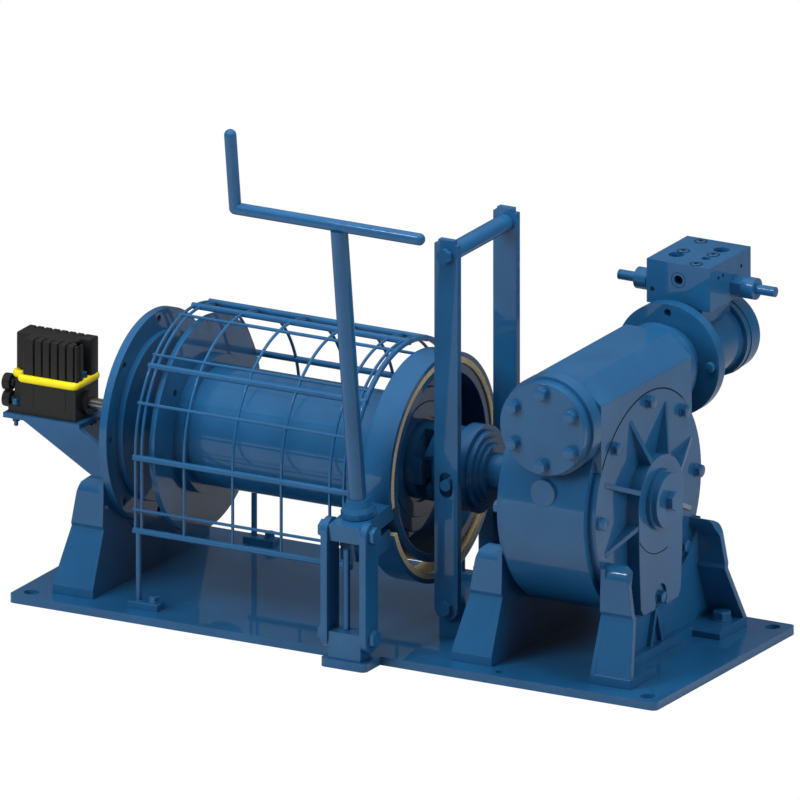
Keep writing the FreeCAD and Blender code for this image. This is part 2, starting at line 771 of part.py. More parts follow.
def make_lever_bracket(side):
    """Upright block inboard of the lever bar, with the pivot pin through it."""
    inner_face = lever_half - lever_thick / 2 - seat_gap
    y1 = side * inner_face
    y0 = side * (inner_face - pivot_block_thick)
    ya, yb = sorted((y0, y1))
    block = box(lever_x - pivot_block_half_x, lever_x + pivot_block_half_x, ya, yb,
                plate_thick, lever_pivot_z)
    block = block.fuse(along_y(pivot_block_half_x, ya, yb, lever_x, lever_pivot_z))
    tip = side * (lever_half + lever_thick / 2 + seat_gap)
    pa, pb = sorted((y0, tip))
    block = block.fuse(along_y(pivot_r, pa, pb, lever_x, lever_pivot_z))
    head = hexagon(V(0, side, 0), lever_bolt_hex, V(lever_x, tip, lever_pivot_z),
                   lever_bolt_thick)
    return block.fuse(head).removeSplitter()


# ================================================================ band brake
lining_in = brake_drum_r + band_rest_gap
strap_in = lining_in + lining_thick
strap_out = strap_in + strap_thick
tilt = math.radians(spindle_tilt)
spindle_dir = V(0, -math.sin(tilt), math.cos(tilt))
seat_point = V(brake_x, spindle_y, spindle_seat_z)


def tilted(shape):
    """Move a shape built upright about its own origin onto the spindle's seat."""
    shape.rotate(V(0, 0, 0), X_AXIS, spindle_tilt)
    shape.translate(seat_point)
    return shape


def make_upper_strap():
    strap = ring_sector(band_x0, band_x1, strap_in, strap_out, band_back_upper,
                        180 + band_upper_end)
    block = box(-upper_block_half_x, upper_block_half_x, -upper_block_front,
                upper_block_back, -upper_block_thick, 0)
    block = tilted(block)
    keep = along_x(strap_in, band_x0 - 30, band_x1 + 30)
    block = block.cut(keep)
    strap = strap.fuse(block)
    bore = tilted(along_z(thread_r + run_gap, -upper_block_thick - 2, 2, 0, 0))
    strap = strap.cut(bore).cut(stand_hole(stand_pivot_top_z))
    lug = box(anchor_x - anchor_wide / 2, anchor_x + anchor_wide / 2, strap_in,
              anchor_y, axis_height + 4, axis_height + 4 + anchor_lug_high)
    lug = lug.cut(along_x(strap_in, band_x0 - 1, band_x1 + 1))
    strap = strap.fuse(lug)
    return strap.removeSplitter()


def make_upper_lining():
    return ring_sector(band_x0, band_x1, lining_in, strap_in, band_back_upper,
                       180 + band_upper_end)


def make_lower_strap():
    z = axis_height - band_drop
    return ring_sector(band_x0, band_x1, strap_in, strap_out, 180 + band_lower_end,
                       360 - band_back_lower, z)


def make_lower_lining():
    z = axis_height - band_drop
    return ring_sector(band_x0, band_x1, lining_in, strap_in, 180 + band_lower_end,
                       360 - band_back_lower, z)


def make_nut_block():
    top = -upper_block_thick - nut_gap
    block = box(-nut_block_half_x, nut_block_half_x, -nut_block_half_y, nut_block_back,
                top - nut_block_thick, top)
    block = tilted(block)
    keep = along_x(strap_out, band_x0 - 30, band_x1 + 30, 0, axis_height - band_drop)
    block = block.cut(keep)
    bore = tilted(along_z(thread_r + run_gap, top - nut_block_thick - 2, top + 2, 0, 0))
    return block.cut(bore)


def make_brake_handle():
    """Spindle with its T-shaped crank handle, welded into one piece."""
    spindle = along_z(spindle_r, cone_high, spindle_top, 0, 0)
    bar = along_x(handle_r, -handle_left, handle_right, 0, spindle_top + handle_r - 2)
    grip = along_z(handle_r, spindle_top + handle_r - 2, spindle_top + handle_r - 2 + grip_high,
                   -handle_left, 0)
    for at in (V(-handle_left, 0, spindle_top + handle_r - 2),
               V(handle_right, 0, spindle_top + handle_r - 2),
               V(-handle_left, 0, spindle_top + handle_r - 2 + grip_high)):
        bar = bar.fuse(Part.makeSphere(handle_r, at))
    cone = Part.makeCone(cone_r0, cone_r1, cone_high - cone_base_high, V(0, 0, cone_base_high),
                         Z_AXIS)
    cone = cone.fuse(along_z(cone_r0, seat_gap, cone_base_high, 0, 0))
    thread = along_z(thread_r, -thread_long, cone_base_high, 0, 0)
    handle = spindle.fuse(cone).fuse(thread).fuse(bar).fuse(grip)
    return tilted(handle.removeSplitter())


def stand_bar(side):
    x0 = brake_x + side * stand_pitch / 2 - stand_bar_thick / 2
    half = stand_bar_wide / 2
    z0 = stand_bar_bottom + half
    z1 = stand_bar_top - half
    bar = box(x0, x0 + stand_bar_thick, stand_bar_y - half, stand_bar_y + half, z0, z1)
    for z in (z0, z1):
        bar = bar.fuse(along_x(half, x0, x0 + stand_bar_thick, stand_bar_y, z))
    for z in (stand_pivot_top_z, stand_pivot_bottom_z):
        bar = bar.cut(stand_hole(z))
    return bar.removeSplitter()


def stand_pin(z):
    """Bolt through both bars, with a hexagon at each end."""
    half = stand_pitch / 2 + stand_bar_thick / 2
    pin = along_x(stand_pin_r, brake_x - half - 1, brake_x + half + 1, stand_bar_y, z)
    for side in (-1, 1):
        pin = pin.fuse(hexagon(V(side, 0, 0), stand_bolt_hex,
                               V(brake_x + side * half, stand_bar_y, z), stand_bolt_thick))
    return pin.removeSplitter()


def stand_hole(z):
    reach = stand_pitch / 2 + stand_bar_thick
    return along_x(stand_pin_r + run_gap, brake_x - reach, brake_x + reach, stand_bar_y, z)


def make_band_anchor():
    """Rear upright that the fixed end of the band is bolted to."""
    return box(anchor_x - anchor_wide / 2, anchor_x + anchor_wide / 2, anchor_y,
               anchor_y + anchor_thick, plate_thick, axis_height + 4 + anchor_lug_high)


def make_stand_block():
    half = stand_pitch / 2 - stand_bar_thick / 2
    block = box(brake_x - half, brake_x + half, stand_bar_y - stand_bar_wide / 2 + 3,
                stand_bar_y + stand_bar_wide / 2 - 3, plate_thick,
                plate_thick + stand_block_high)
    rod_x = brake_x + stand_rod_x
    top = stand_pivot_top_z - 25
    block = block.fuse(along_z(stand_rod_r, plate_thick + stand_block_high - 1, top, rod_x,
                               stand_bar_y))
    return block.cut(stand_hole(stand_pivot_bottom_z)).removeSplitter()


# ================================================================ rope guard
hoop_step = 180.0 / hoop_facets


def ring_of_corners(radius, sides):
    """Corners of a rod's section, as pairs (outwards, along X)."""
    turn = math.pi / sides
    return [(radius * math.cos(2 * math.pi * k / sides + turn),
             radius * math.sin(2 * math.pi * k / sides + turn)) for k in range(sides)]


def facet_solid(loops):
    """Closed solid through a row of corner loops, with flat sides between them."""
    faces = []
    for a, b in zip(loops, loops[1:]):
        for k in range(len(a)):
            n = (k + 1) % len(a)
            faces.append(Part.Face(Part.makePolygon([a[k], a[n], b[n], b[k], a[k]])))
    for end in (loops[0], loops[-1]):
        faces.append(Part.Face(Part.makePolygon(end + [end[0]])))
    solid = Part.makeSolid(Part.makeShell(faces))
    if solid.Volume < 0:
        solid.reverse()
    return solid


def hoop(x, rod_r, deg0, deg1):
    """Bent rod from one angle to another, with a straight leg below each side."""
    corners = ring_of_corners(rod_r, hoop_sides)
    loops = []
    for i in range(int(round((deg1 - deg0) / hoop_step)) + 1):
        degrees = deg0 + i * hoop_step
        loops.append([rim_point(x + along, hoop_r + out, degrees) for out, along in corners])
    if deg0 == 0:
        foot = [V(p.x, p.y, guard_lower_z) for p in loops[0]]
        loops.insert(0, foot)
    if deg1 == 180:
        foot = [V(p.x, p.y, guard_lower_z) for p in loops[-1]]
        loops.append(foot)
    return facet_solid(loops)


def long_rod(rod_r, sides, y, z):
    """Straight rod along the guard."""
    loops = []
    for x in (guard_x0 - 3, guard_x1 + 3):
        loops.append([V(x, y + out, z + up) for out, up in ring_of_corners(rod_r, sides)])
    return facet_solid(loops)


def guard_post(x, y):
    """Upright with its foot plate, which is longer towards the gearbox."""
    loops = []
    for z in (plate_thick + post_pad_thick - 1, guard_lower_z):
        loops.append([V(x + out, y + along, z) for out, along in ring_of_corners(post_r, 8)])
    x0 = x - post_pad_lead
    pad = box(x0, x0 + post_pad_long, y - post_pad_wide / 2, y + post_pad_wide / 2,
              plate_thick, plate_thick + post_pad_thick)
    return [facet_solid(loops), pad]


def hoop_positions():
    """(X, rod radius) of every hoop."""
    hoops = [(guard_x0, hoop_rod_r), (guard_x0 + guard_twin, hoop_rod_r)]
    hoops += [(guard_x0 + i * guard_pitch, hoop_rod_r) for i in range(1, guard_hoops)]
    return hoops + [(guard_x1 - guard_end_twin, hoop_rod_r), (guard_x1, hoop_heavy_r)]


def make_guard(deg0, deg1):
    """One of the guard's welded parts: its hoops, long rods, tubes and posts."""
    pieces = [hoop(x, rod_r, deg0, deg1) for x, rod_r in hoop_positions()]
    for degrees in guard_rods:
        if deg0 <= degrees < deg1:
            at = rim_point(0, hoop_r + rod_offset, degrees)
            pieces.append(long_rod(hoop_rod_r, hoop_sides, at.y, at.z))
    for degrees in guard_tubes:
        if deg0 <= degrees < deg1:
            at = rim_point(0, hoop_r, degrees)
            pieces.append(long_rod(guard_tube_r, 8, at.y, at.z))
    side = 1 if deg0 == 0 else -1
    if deg0 == 0 or deg1 == 180:
        pieces.append(long_rod(guard_tube_r, 8, side * hoop_r, guard_lower_z))
        pieces.append(long_rod(hoop_rod_r, hoop_sides, side * (hoop_r + rod_offset),
                               axis_height - guard_low_rod_drop))
        for x in (guard_x0 + guard_twin / 2, guard_x1 - guard_end_twin / 2):
            pieces += guard_post(x, side * hoop_r)
    if deg1 == 180:
        pieces.append(long_rod(guard_tube_r, 8, -hoop_r, axis_height - guard_mid_drop))
    return pieces[0].multiFuse(pieces[1:])


# ================================================================ limit switch
switch_x0 = bracket_x0 + 5.0
switch_x1 = switch_x0 + switch_length
switch_z0 = bracket_top_z
switch_z1 = switch_z0 + switch_base_high
switch_z2 = switch_z1 + switch_band_high


def make_switch_bracket():
    half = bracket_width / 2
    plate = box(bracket_x0, bracket_x1, -half, half, bracket_top_z - bracket_thick,
                bracket_top_z)
    reach = pedestal_web_x - cast_boss_deep
    z1 = bracket_top_z - bracket_thick
    for sy in (-1, 1):
        y0 = sy * half - (gusset_thick if sy > 0 else 0)
        gusset = prism([V(bracket_x0 + 30, y0, z1 + 1), V(bracket_x1, y0, z1 + 1),
                        V(reach, y0, z1 - gusset_top_drop),
                        V(reach, y0, z1 - gusset_top_drop - gusset_drop)],
                       V(0, gusset_thick, 0))
        plate = plate.fuse(gusset)
    return plate.removeSplitter()


def notched(x0, x1, half, notch, z0, z1):
    """Box about the drum axis with two opposite corners cut back for bolts."""
    shape = box(x0, x1, -half, half, z0, z1)
    for cx, cy in ((x0, -half), (x1, half)):
        shape = shape.cut(box(cx - notch, cx + notch, cy - notch, cy + notch, z0 - 1, z1 + 1))
    return shape


def make_switch_base():
    half = switch_width / 2
    foot = box(switch_x0, switch_x1, -half, half, switch_z0, switch_z0 + switch_foot_high)
    body = notched(switch_x0, switch_x1, half, switch_notch, switch_z0 + 1, switch_z1)
    base = foot.fuse(body)
    nose = along_x(stub_r + 8, switch_x1 - 1, switch_x1 + 6)
    base = base.fuse(nose)
    base = base.cut(along_x(stub_r + run_gap, switch_x1 - 12, switch_x1 + 7))
    return base.removeSplitter()


def make_switch_gasket():
    half = switch_width / 2
    p = switch_band_proud
    return notched(switch_x0 - p, switch_x1 + p, half + p, switch_notch, switch_z1, switch_z2)


def make_switch_cap():
    half = switch_width / 2 - switch_cap_inset / 2
    x0 = switch_x0 + switch_cap_inset
    x1 = switch_x1 - switch_cap_inset
    cap = notched(x0, x1, half, switch_notch, switch_z2, switch_z2 + switch_cap_high)
    crown = box(x0 + switch_notch, x1 - switch_notch, -half, half,
                switch_z2 + switch_cap_high - 1, switch_z2 + switch_cap_high + switch_crown_high)
    cap = cap.fuse(crown)
    mid = 0.5 * (x0 + x1)
    for i in range(-2, 3):
        for sy in (-1, 1):
            y0, y1 = sorted((sy * (half - switch_rib_deep), sy * (half + 1)))
            cap = cap.cut(box(mid + i * switch_rib_pitch - 1.5, mid + i * switch_rib_pitch + 1.5,
                              y0, y1, switch_z2 + 2,
                              switch_z2 + switch_cap_high + switch_crown_high + 1))
    return cap.removeSplitter()


def make_gland(index):
    """Cable gland standing off the switch box on its neck."""
    z = switch_z0 + gland_up + index * gland_pitch
    head_x = switch_x0 - gland_neck_long - gland_long
    gland = along_x(gland_r, head_x, head_x + gland_long, gland_y, z)
    gland = gland.fuse(along_x(gland_neck_r, head_x + 1, switch_x0, gland_y, z))
    return gland.cut(along_x(0.45 * gland_r, head_x - 1, head_x + 4, gland_y, z))


def make_switch_coupling():
    """Switch shaft and the coupling that the drum's trunnion drives."""
    stub_end = pedestal_web_x - cast_boss_deep - 12
    shaft = along_x(stub_r, switch_x1 - 10, stub_end)
    sleeve = along_x(coupling_r, stub_end - coupling_long, stub_end)
    return shaft.fuse(sleeve).removeSplitter()


# ================================================================ list of sub-parts
PARTS = {
    "base_plate": make_base_plate,
    "left_pedestal": make_left_pedestal,
    "gear_cover_left": make_gear_cover_left,
    "gear_cover_right": make_gear_cover_right,
    "gear_case": make_gear_case,
    "worm_cover": make_worm_cover,
    "motor_flange": make_motor_flange,
    "hydraulic_motor": make_motor,
    "valve_block": make_valve_block,
    "cartridge_valve_left": lambda: make_cartridge(-1),
    "cartridge_valve_right": lambda: make_cartridge(1),
    "output_shaft": make_output_shaft,
    "shaft_end_cap": make_shaft_end,
    "drum_barrel": make_drum_barrel,
    "drum_flange": make_drum_flange,
    "brake_drum": make_brake_drum,
    "clutch_collar": make_clutch_collar,
    "shift_ring": make_shift_ring,
    "lever_bar_front": lambda: lever_bar(-1),
    "lever_bar_back": lambda: lever_bar(1),
    "lever_cross_tube": make_lever_tube,
    "lever_bracket_front": lambda: make_lever_bracket(-1),
    "lever_bracket_back": lambda: make_lever_bracket(1),
    "brake_strap_upper": make_upper_strap,
    "brake_lining_upper": make_upper_lining,
    "brake_strap_lower": make_lower_strap,
    "brake_lining_lower": make_lower_lining,
    "brake_nut_block": make_nut_block,
    "brake_handle": make_brake_handle,
    "stand_bar_left": lambda: stand_bar(-1),
    "stand_bar_right": lambda: stand_bar(1),
    "stand_block": make_stand_block,
    "stand_pin_top": lambda: stand_pin(stand_pivot_top_z),
    "stand_pin_bottom": lambda: stand_pin(stand_pivot_bottom_z),
    "band_anchor": make_band_anchor,
    "rope_guard": lambda: make_guard(120, 180),
    "rope_guard_top": lambda: make_guard(60, 120),
    "rope_guard_back": lambda: make_guard(0, 60),
    "switch_bracket": make_switch_bracket,
    "switch_base": make_switch_base,
    "switch_gasket": make_switch_gasket,
    "switch_cap": make_switch_cap,
    "cable_gland_lower": lambda: make_gland(0),
    "cable_gland_upper": lambda: make_gland(1),
    "switch_coupling": make_switch_coupling,
}


def main():
    os.makedirs("parts", exist_ok=True)
    for name, make in PARTS.items():
        shape = make()
        print(name, len(shape.Solids), shape.isValid(), round(shape.Volume / 1000.0, 1), "cm3")
        shape.exportStep("parts/" + name + ".step")


main()
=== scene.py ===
# %% [markdown]
# # A mooring winch, dressed for its picture
# The winch is a painted steel machine: welded plates, iron castings, a rope drum, a
# hand-screwed band brake and a worm gearbox with a hydraulic motor.  The solid parts
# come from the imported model.  This script gives them paint, rubber, plastic and bright
# steel.  It adds what is too small for the solid model, such as bolts, plugs, seams
# and turned steps, and it puts finer forms in place of the rope guard, the gasket and
# the switch's cap.  All lengths are in metres.

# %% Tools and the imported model
import json

import bpy
import numpy as np
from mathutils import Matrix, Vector


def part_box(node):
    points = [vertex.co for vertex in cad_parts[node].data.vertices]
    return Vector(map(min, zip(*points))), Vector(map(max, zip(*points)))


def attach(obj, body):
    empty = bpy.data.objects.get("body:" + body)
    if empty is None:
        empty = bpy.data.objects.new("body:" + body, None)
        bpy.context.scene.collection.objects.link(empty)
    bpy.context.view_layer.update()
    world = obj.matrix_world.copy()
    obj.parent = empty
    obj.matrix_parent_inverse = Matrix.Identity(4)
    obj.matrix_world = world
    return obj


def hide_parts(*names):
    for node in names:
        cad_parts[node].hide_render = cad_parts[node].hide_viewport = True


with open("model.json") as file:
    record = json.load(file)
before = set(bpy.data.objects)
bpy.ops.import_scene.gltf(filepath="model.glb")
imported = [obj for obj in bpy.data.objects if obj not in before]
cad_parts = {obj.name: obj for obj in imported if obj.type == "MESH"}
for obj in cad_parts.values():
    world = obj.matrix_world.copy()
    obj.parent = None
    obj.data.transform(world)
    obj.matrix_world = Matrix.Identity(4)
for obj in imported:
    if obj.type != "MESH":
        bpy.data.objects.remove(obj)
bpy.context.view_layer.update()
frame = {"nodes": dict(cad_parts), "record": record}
nodes = frame["nodes"]

# %% [markdown]
# ## Places that several pieces share
# Most pieces are placed from the boxes of the solid parts, so that they follow when the
# model changes size.  The drum line is the axis of the output shaft, and the worm line
# is the axis of the motor flange.

# %% Directions and axes
rightward = (1, 0, 0)
forward, backward = (0, -1, 0), (0, 1, 0)
upward, downward = (0, 0, 1), (0, 0, -1)


def centre_of(node):
    low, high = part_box(node)
    return 0.5 * (np.array(low) + np.array(high))


def low_of(node):
    return np.array(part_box(node)[0])


def high_of(node):
    return np.array(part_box(node)[1])


drum_axis = centre_of("output_shaft")
worm_axis = centre_of("motor_flange")
axis_z = drum_axis[2]
plate_z = high_of("base_plate")[2]
print("drum line z", round(axis_z, 4), "worm line x z", np.round(worm_axis[[0, 2]], 4))

# %% [markdown]
# ## Camera
# A long lens far away and a parallel view look almost alike.  A parallel
# (orthographic) camera keeps edges that are parallel on the machine parallel in the
# picture, as in a catalogue view.

# %% Camera
view_azimuth, view_elevation = np.radians((28.85, 17.84))
view_width, view_distance, view_depth = 1.0828, 4.0, 50
view_target = Vector((-0.0034, 0.0, 0.3092))
view_back = Vector((np.sin(view_azimuth) * np.cos(view_elevation),
                    -np.cos(view_azimuth) * np.cos(view_elevation),
                    np.sin(view_elevation)))
camera_data = bpy.data.cameras.new("catalogue_camera")
camera_data.type = "ORTHO"
camera_data.ortho_scale = view_width
camera_data.clip_end = view_depth
camera = bpy.data.objects.new("catalogue_camera", camera_data)
camera.location = view_target + view_back * view_distance
camera.rotation_euler = (-view_back).to_track_quat("-Z", "Y").to_euler()
bpy.context.collection.objects.link(camera)
bpy.context.scene.camera = camera
bpy.context.scene.view_settings.view_transform = "Standard"


# %% [markdown]
# ## Nodes and colours
# Colours are written as the hex values that a paint chart gives, and one function turns
# them into the linear values that Blender's shaders work with.  Another small function
# adds a node, sets it and links it.


# %% Helpers for materials
def linear(hex_colour):
    """sRGB hex to linear, opaque: c/12.92 up to 0.04045, else ((c+0.055)/1.055)^2.4."""
    parts = [int(hex_colour[i:i + 2], 16) / 255 for i in (1, 3, 5)]
    return [p / 12.92 if p <= 0.04045 else ((p + 0.055) / 1.055) ** 2.4
            for p in parts] + [1.0]


def add(tree, kind, settings=None, **inputs):
    """Add a node; an input is a value, or (node, output) to link from.  An input that
    has no name of its own is called by its number, such as i0."""
    node = tree.nodes.new(kind)
    for key, value in (settings or {}).items():
        setattr(node, key, value)
    for key, value in inputs.items():
        numbered = key[0] == "i" and key[1:].isdigit()
        socket = node.inputs[int(key[1:]) if numbered else key.replace("_", " ")]
        if isinstance(value, tuple) and hasattr(value[0], "outputs"):
            tree.links.new(value[0].outputs[value[1]], socket)
        else:
            socket.default_value = value
    return node


def material(name, colour, **shader):
    """New material with one Principled shader; returns material, tree and shader."""
    made = bpy.data.materials.new(name)
    made.use_nodes = True
    tree = made.node_tree
    tree.nodes.clear()
    out = tree.nodes.new("ShaderNodeOutputMaterial")
    surface = add(tree, "ShaderNodeBsdfPrincipled", Base_Color=linear(colour), **shader)
    tree.links.new(surface.outputs[0], out.inputs[0])
    return made, tree, surface


def ramp(tree, source, stops):
    """Colour ramp with (place, hex) stops, fed by (node, output)."""
    node = add(tree, "ShaderNodeValToRGB", Fac=source)
    bar = node.color_ramp.elements
    while len(bar) < len(stops):
        bar.new(0.5)
    for element, (place, colour) in zip(bar, stops):
        element.position = place
        element.color = linear(colour)
    return node


def split_view(tree, lit, seen):
    """Mix of two shaders: one for what lights the machine, one that the camera sees."""
    ray = add(tree, "ShaderNodeLightPath")
    return add(tree, "ShaderNodeMixShader", i0=(ray, "Is Camera Ray"), i1=(lit, 0),
               i2=(seen, 0))


# %% [markdown]
# ## Blue deck enamel
# Deck machinery is sprayed with a two-part polyurethane enamel.  It gives the eye a
# deep, even blue with sharp reflections, and a faint orange-peel ripple from the
# spraying.  The ripple is drawn 9 mm wide and the film's slow colour change about
# 120 mm wide, so that both just show.  Thick paint rounds every edge a little: a bevel
# node bends the light there as if the edge had a radius, and the mesh stays sharp.

# %% Blue enamel
patch_wide = 0.12
ripple_wide, ripple_high = 0.009, 0.0003
sand_wide, sand_high = 0.0035, 0.0006


def enamel(name, colour, shade, light, edge_round, cast_grain=0.0):
    """Gloss enamel under a clear coat; edge_round is the radius that edges seem to
    have, and cast_grain adds the pitted skin of sand-cast iron below the film."""
    made, tree, surface = material(name, colour, Roughness=0.42, IOR=1.5,
                                   Specular_IOR_Level=0.25, Coat_Weight=1.0,
                                   Coat_Roughness=0.03, Coat_IOR=1.5)
    place = add(tree, "ShaderNodeTexCoord")
    slow = add(tree, "ShaderNodeTexNoise", Vector=(place, "Object"),
               Scale=1 / patch_wide, Detail=4.0, Roughness=0.6)
    tint = ramp(tree, (slow, "Fac"), [(0.3, shade), (0.5, colour), (0.72, light)])
    tree.links.new(tint.outputs[0], surface.inputs["Base Color"])
    soft_edge = add(tree, "ShaderNodeBevel", {"samples": 4}, Radius=edge_round)
    peel = add(tree, "ShaderNodeTexNoise", Vector=(place, "Object"),
               Scale=1 / ripple_wide, Detail=1.0)
    film = add(tree, "ShaderNodeBump", Strength=0.03, Distance=ripple_high,
               Height=(peel, "Fac"), Normal=(soft_edge, "Normal"))
    tree.links.new(film.outputs[0], surface.inputs["Coat Normal"])
    sand = add(tree, "ShaderNodeTexNoise", Vector=(place, "Object"),
               Scale=1 / sand_wide, Detail=3.0)
    skin_bump = add(tree, "ShaderNodeBump", Strength=cast_grain, Distance=sand_high,
                    Height=(sand, "Fac"), Normal=(film, "Normal"))
    tree.links.new(skin_bump.outputs[0], surface.inputs["Normal"])
    return made


plate_enamel = enamel("enamel_on_plate", "#18517D", "#154B75", "#1B5785",
                      edge_round=0.0008)
cast_enamel = enamel("enamel_on_cast_iron", "#18507B", "#154A73", "#1B5683",
                     edge_round=0.0018, cast_grain=0.08)

# %% [markdown]
# ## Black moulded plastic, yellow rubber, brake lining and bright steel
# The limit switch has a housing of injection-moulded polyamide, black with a fine
# spark-eroded texture, and a silicone-rubber gasket in warning yellow, which is smooth
# and slightly soft to the light.  A brake lining is pressed fibre and brass wire: a
# tan, matt band.  The switch's coupling is turned steel, with fine rings that spread
# highlights across the turning direction.  One more finish, almost black, stands for
# the shade inside bores and narrow gaps.

# %% Plastic, rubber, lining, steel and shade
moulded_high = 0.0003
rough_less, rough_more = 0.06, 0.08
fibre_wide, fibre_high = 0.002, 0.0004
ring_wave, ring_high = 0.0016, 0.0002


def moulded(name, colour, roughness, grain_wide, grain):
    """Even surface with a fine texture of the given grain width and strength."""
    made, tree, surface = material(name, colour, Roughness=roughness, IOR=1.52)
    place = add(tree, "ShaderNodeTexCoord")
    fine = add(tree, "ShaderNodeTexNoise", Vector=(place, "Object"),
               Scale=1 / grain_wide, Detail=2.0)
    bump = add(tree, "ShaderNodeBump", Strength=grain, Distance=moulded_high,
               Height=(fine, "Fac"))
    tree.links.new(bump.outputs[0], surface.inputs["Normal"])
    rough = add(tree, "ShaderNodeMapRange", Value=(fine, "Fac"),
                To_Min=roughness - rough_less, To_Max=roughness + rough_more)
    tree.links.new(rough.outputs[0], surface.inputs["Roughness"])
    return made


def pressed_lining():
    """Brake lining: tan pressed fibre with short brass threads about 2 mm long."""
    base = "#D9C69C"
    made, tree, surface = material("pressed_fibre_lining", base, Roughness=0.8)
    place = add(tree, "ShaderNodeTexCoord")
    fibre = add(tree, "ShaderNodeTexVoronoi", Vector=(place, "Object"),
                Scale=1 / fibre_wide)
    tint = ramp(tree, (fibre, "Distance"), [(0.0, "#EAD9B2"), (0.45, base),
                                            (0.9, "#B39C70")])
    tree.links.new(tint.outputs[0], surface.inputs["Base Color"])
    bump = add(tree, "ShaderNodeBump", Strength=0.25, Distance=fibre_high,
               Height=(fibre, "Distance"))
    tree.links.new(bump.outputs[0], surface.inputs["Normal"])
    return made


def turned_steel():
    """Turned steel: fine rings along X, drawn as coarse as they can show."""
    made, tree, surface = material("turned_steel", "#B9BCC0", Metallic=1.0,
                                   Roughness=0.28)
    place = add(tree, "ShaderNodeTexCoord")
    rings = add(tree, "ShaderNodeTexWave", {"bands_direction": "X"},
                Vector=(place, "Object"), Scale=1 / ring_wave, Distortion=0.4)
    bump = add(tree, "ShaderNodeBump", Strength=0.12, Distance=ring_high,
               Height=(rings, "Fac"))
    tree.links.new(bump.outputs[0], surface.inputs["Normal"])
    return made


polyamide = moulded("moulded_polyamide", "#1D1D1E", 0.42, grain_wide=0.0012, grain=0.10)
gasket_rubber = moulded("silicone_rubber", "#F0DC1E", 0.38, grain_wide=0.002,
                        grain=0.04)
bore_shadow = moulded("bore_shadow", "#0A1822", 0.7, grain_wide=0.001, grain=0.05)
lining = pressed_lining()
steel = turned_steel()

# %% [markdown]
# ## Which finish goes where
# The iron castings and the gear case get the enamel with the sand-cast skin; rolled and
# welded steel gets the smooth one.  Each solid part keeps its shape and only takes the
# new material.

# %% Finishes on the solid parts
cast_nodes = ("left_pedestal", "gear_cover_left", "gear_cover_right", "gear_case",
              "worm_cover", "motor_flange", "hydraulic_motor", "brake_drum")
moulded_starts = ("switch_cap", "switch_base", "cable_gland")
finish_of = {name: plate_enamel for name in nodes}
finish_of.update({name: cast_enamel for name in cast_nodes})
finish_of.update({name: polyamide for name in nodes if name.startswith(moulded_starts)})
finish_of.update({"switch_gasket": gasket_rubber, "switch_coupling": steel,
                  "brake_lining_upper": lining, "brake_lining_lower": lining})
for name, finish in finish_of.items():
    slots = nodes[name].data.materials
    slots.clear()
    slots.append(finish)
print("finishes", len(set(finish_of.values())), "on", len(finish_of), "parts")

# %% [markdown]
# ## Studio
# A catalogue picture has a white floor and background.  The camera sees both as plain
# white, while the light that they send to the machine is greyer, so that the paint
# keeps its depth.  A large softbox stands in front on the left, a wide one hangs
# overhead and one stands on the right for the end faces.  These three aren't mirrored
# in the gloss.  A small lamp in front is, and gives the rods and edges their glints.

# %% Floor, world and lamps
floor_mesh = bpy.data.meshes.new("studio_floor")
floor_reach = 12.0
floor_mesh.from_pydata([(-floor_reach, -floor_reach, 0), (floor_reach, -floor_reach, 0),
                        (floor_reach, floor_reach, 0), (-floor_reach, floor_reach, 0)],
                       [], [(0, 1, 2, 3)])
floor = bpy.data.objects.new("studio_floor", floor_mesh)
bpy.context.collection.objects.link(floor)
floor_paint, floor_tree, floor_surface = material("studio_floor_white", "#A6A6A6",
                                                  Roughness=0.9, Specular_IOR_Level=0.1)
plain_white = add(floor_tree, "ShaderNodeEmission", Color=linear("#FFFFFF"),
                  Strength=1.0)
floor_mix = split_view(floor_tree, floor_surface, plain_white)
floor_tree.links.new(floor_mix.outputs[0],
                     floor_tree.nodes["Material Output"].inputs[0])
floor_mesh.materials.append(floor_paint)

world = bpy.data.worlds.new("studio_air")
bpy.context.scene.world = world
world.use_nodes = True
air = world.node_tree
air.nodes.clear()
air_out = air.nodes.new("ShaderNodeOutputWorld")
seen_air = add(air, "ShaderNodeBackground", Color=linear("#FFFFFF"), Strength=1.0)
way = add(air, "ShaderNodeTexCoord")
height = add(air, "ShaderNodeSeparateXYZ", Vector=(way, "Generated"))
glow = ramp(air, (height, "Z"), [(0.0, "#444444"), (0.35, "#5E5E5E"), (1.0, "#AEAEAE")])
lighting = add(air, "ShaderNodeBackground", Color=(glow, "Color"), Strength=1.0)
air.links.new(split_view(air, lighting, seen_air).outputs[0], air_out.inputs[0])


def softbox(name, at, aim, wide, high, watts, mirrored=False):
    """Area lamp; only a mirrored one shows in the gloss of the paint."""
    data = bpy.data.lights.new(name, "AREA")
    data.shape = "RECTANGLE"
    data.size = wide
    data.size_y = high
    data.energy = watts
    lamp = bpy.data.objects.new(name, data)
    lamp.location = at
    lamp.rotation_euler = (Vector(aim) - Vector(at)).to_track_quat("-Z", "Y").to_euler()
    lamp.visible_glossy = mirrored
    bpy.context.collection.objects.link(lamp)


middle_of_winch = (0, 0, 0.25)
softbox("front_key", (-1.2, -2.6, 1.7), middle_of_winch, wide=1.8, high=1.4, watts=78)
softbox("overhead_softbox", (0.15, -0.1, 1.6), (0.1, 0, 0.2), wide=1.3, high=0.8,
        watts=21)
softbox("right_softbox", (2.6, 0.1, 0.9), middle_of_winch, wide=1.6, high=1.4, watts=34)
softbox("glint", (-0.9, -1.6, 2.4), middle_of_winch, wide=0.35, high=0.25, watts=5,
        mirrored=True)

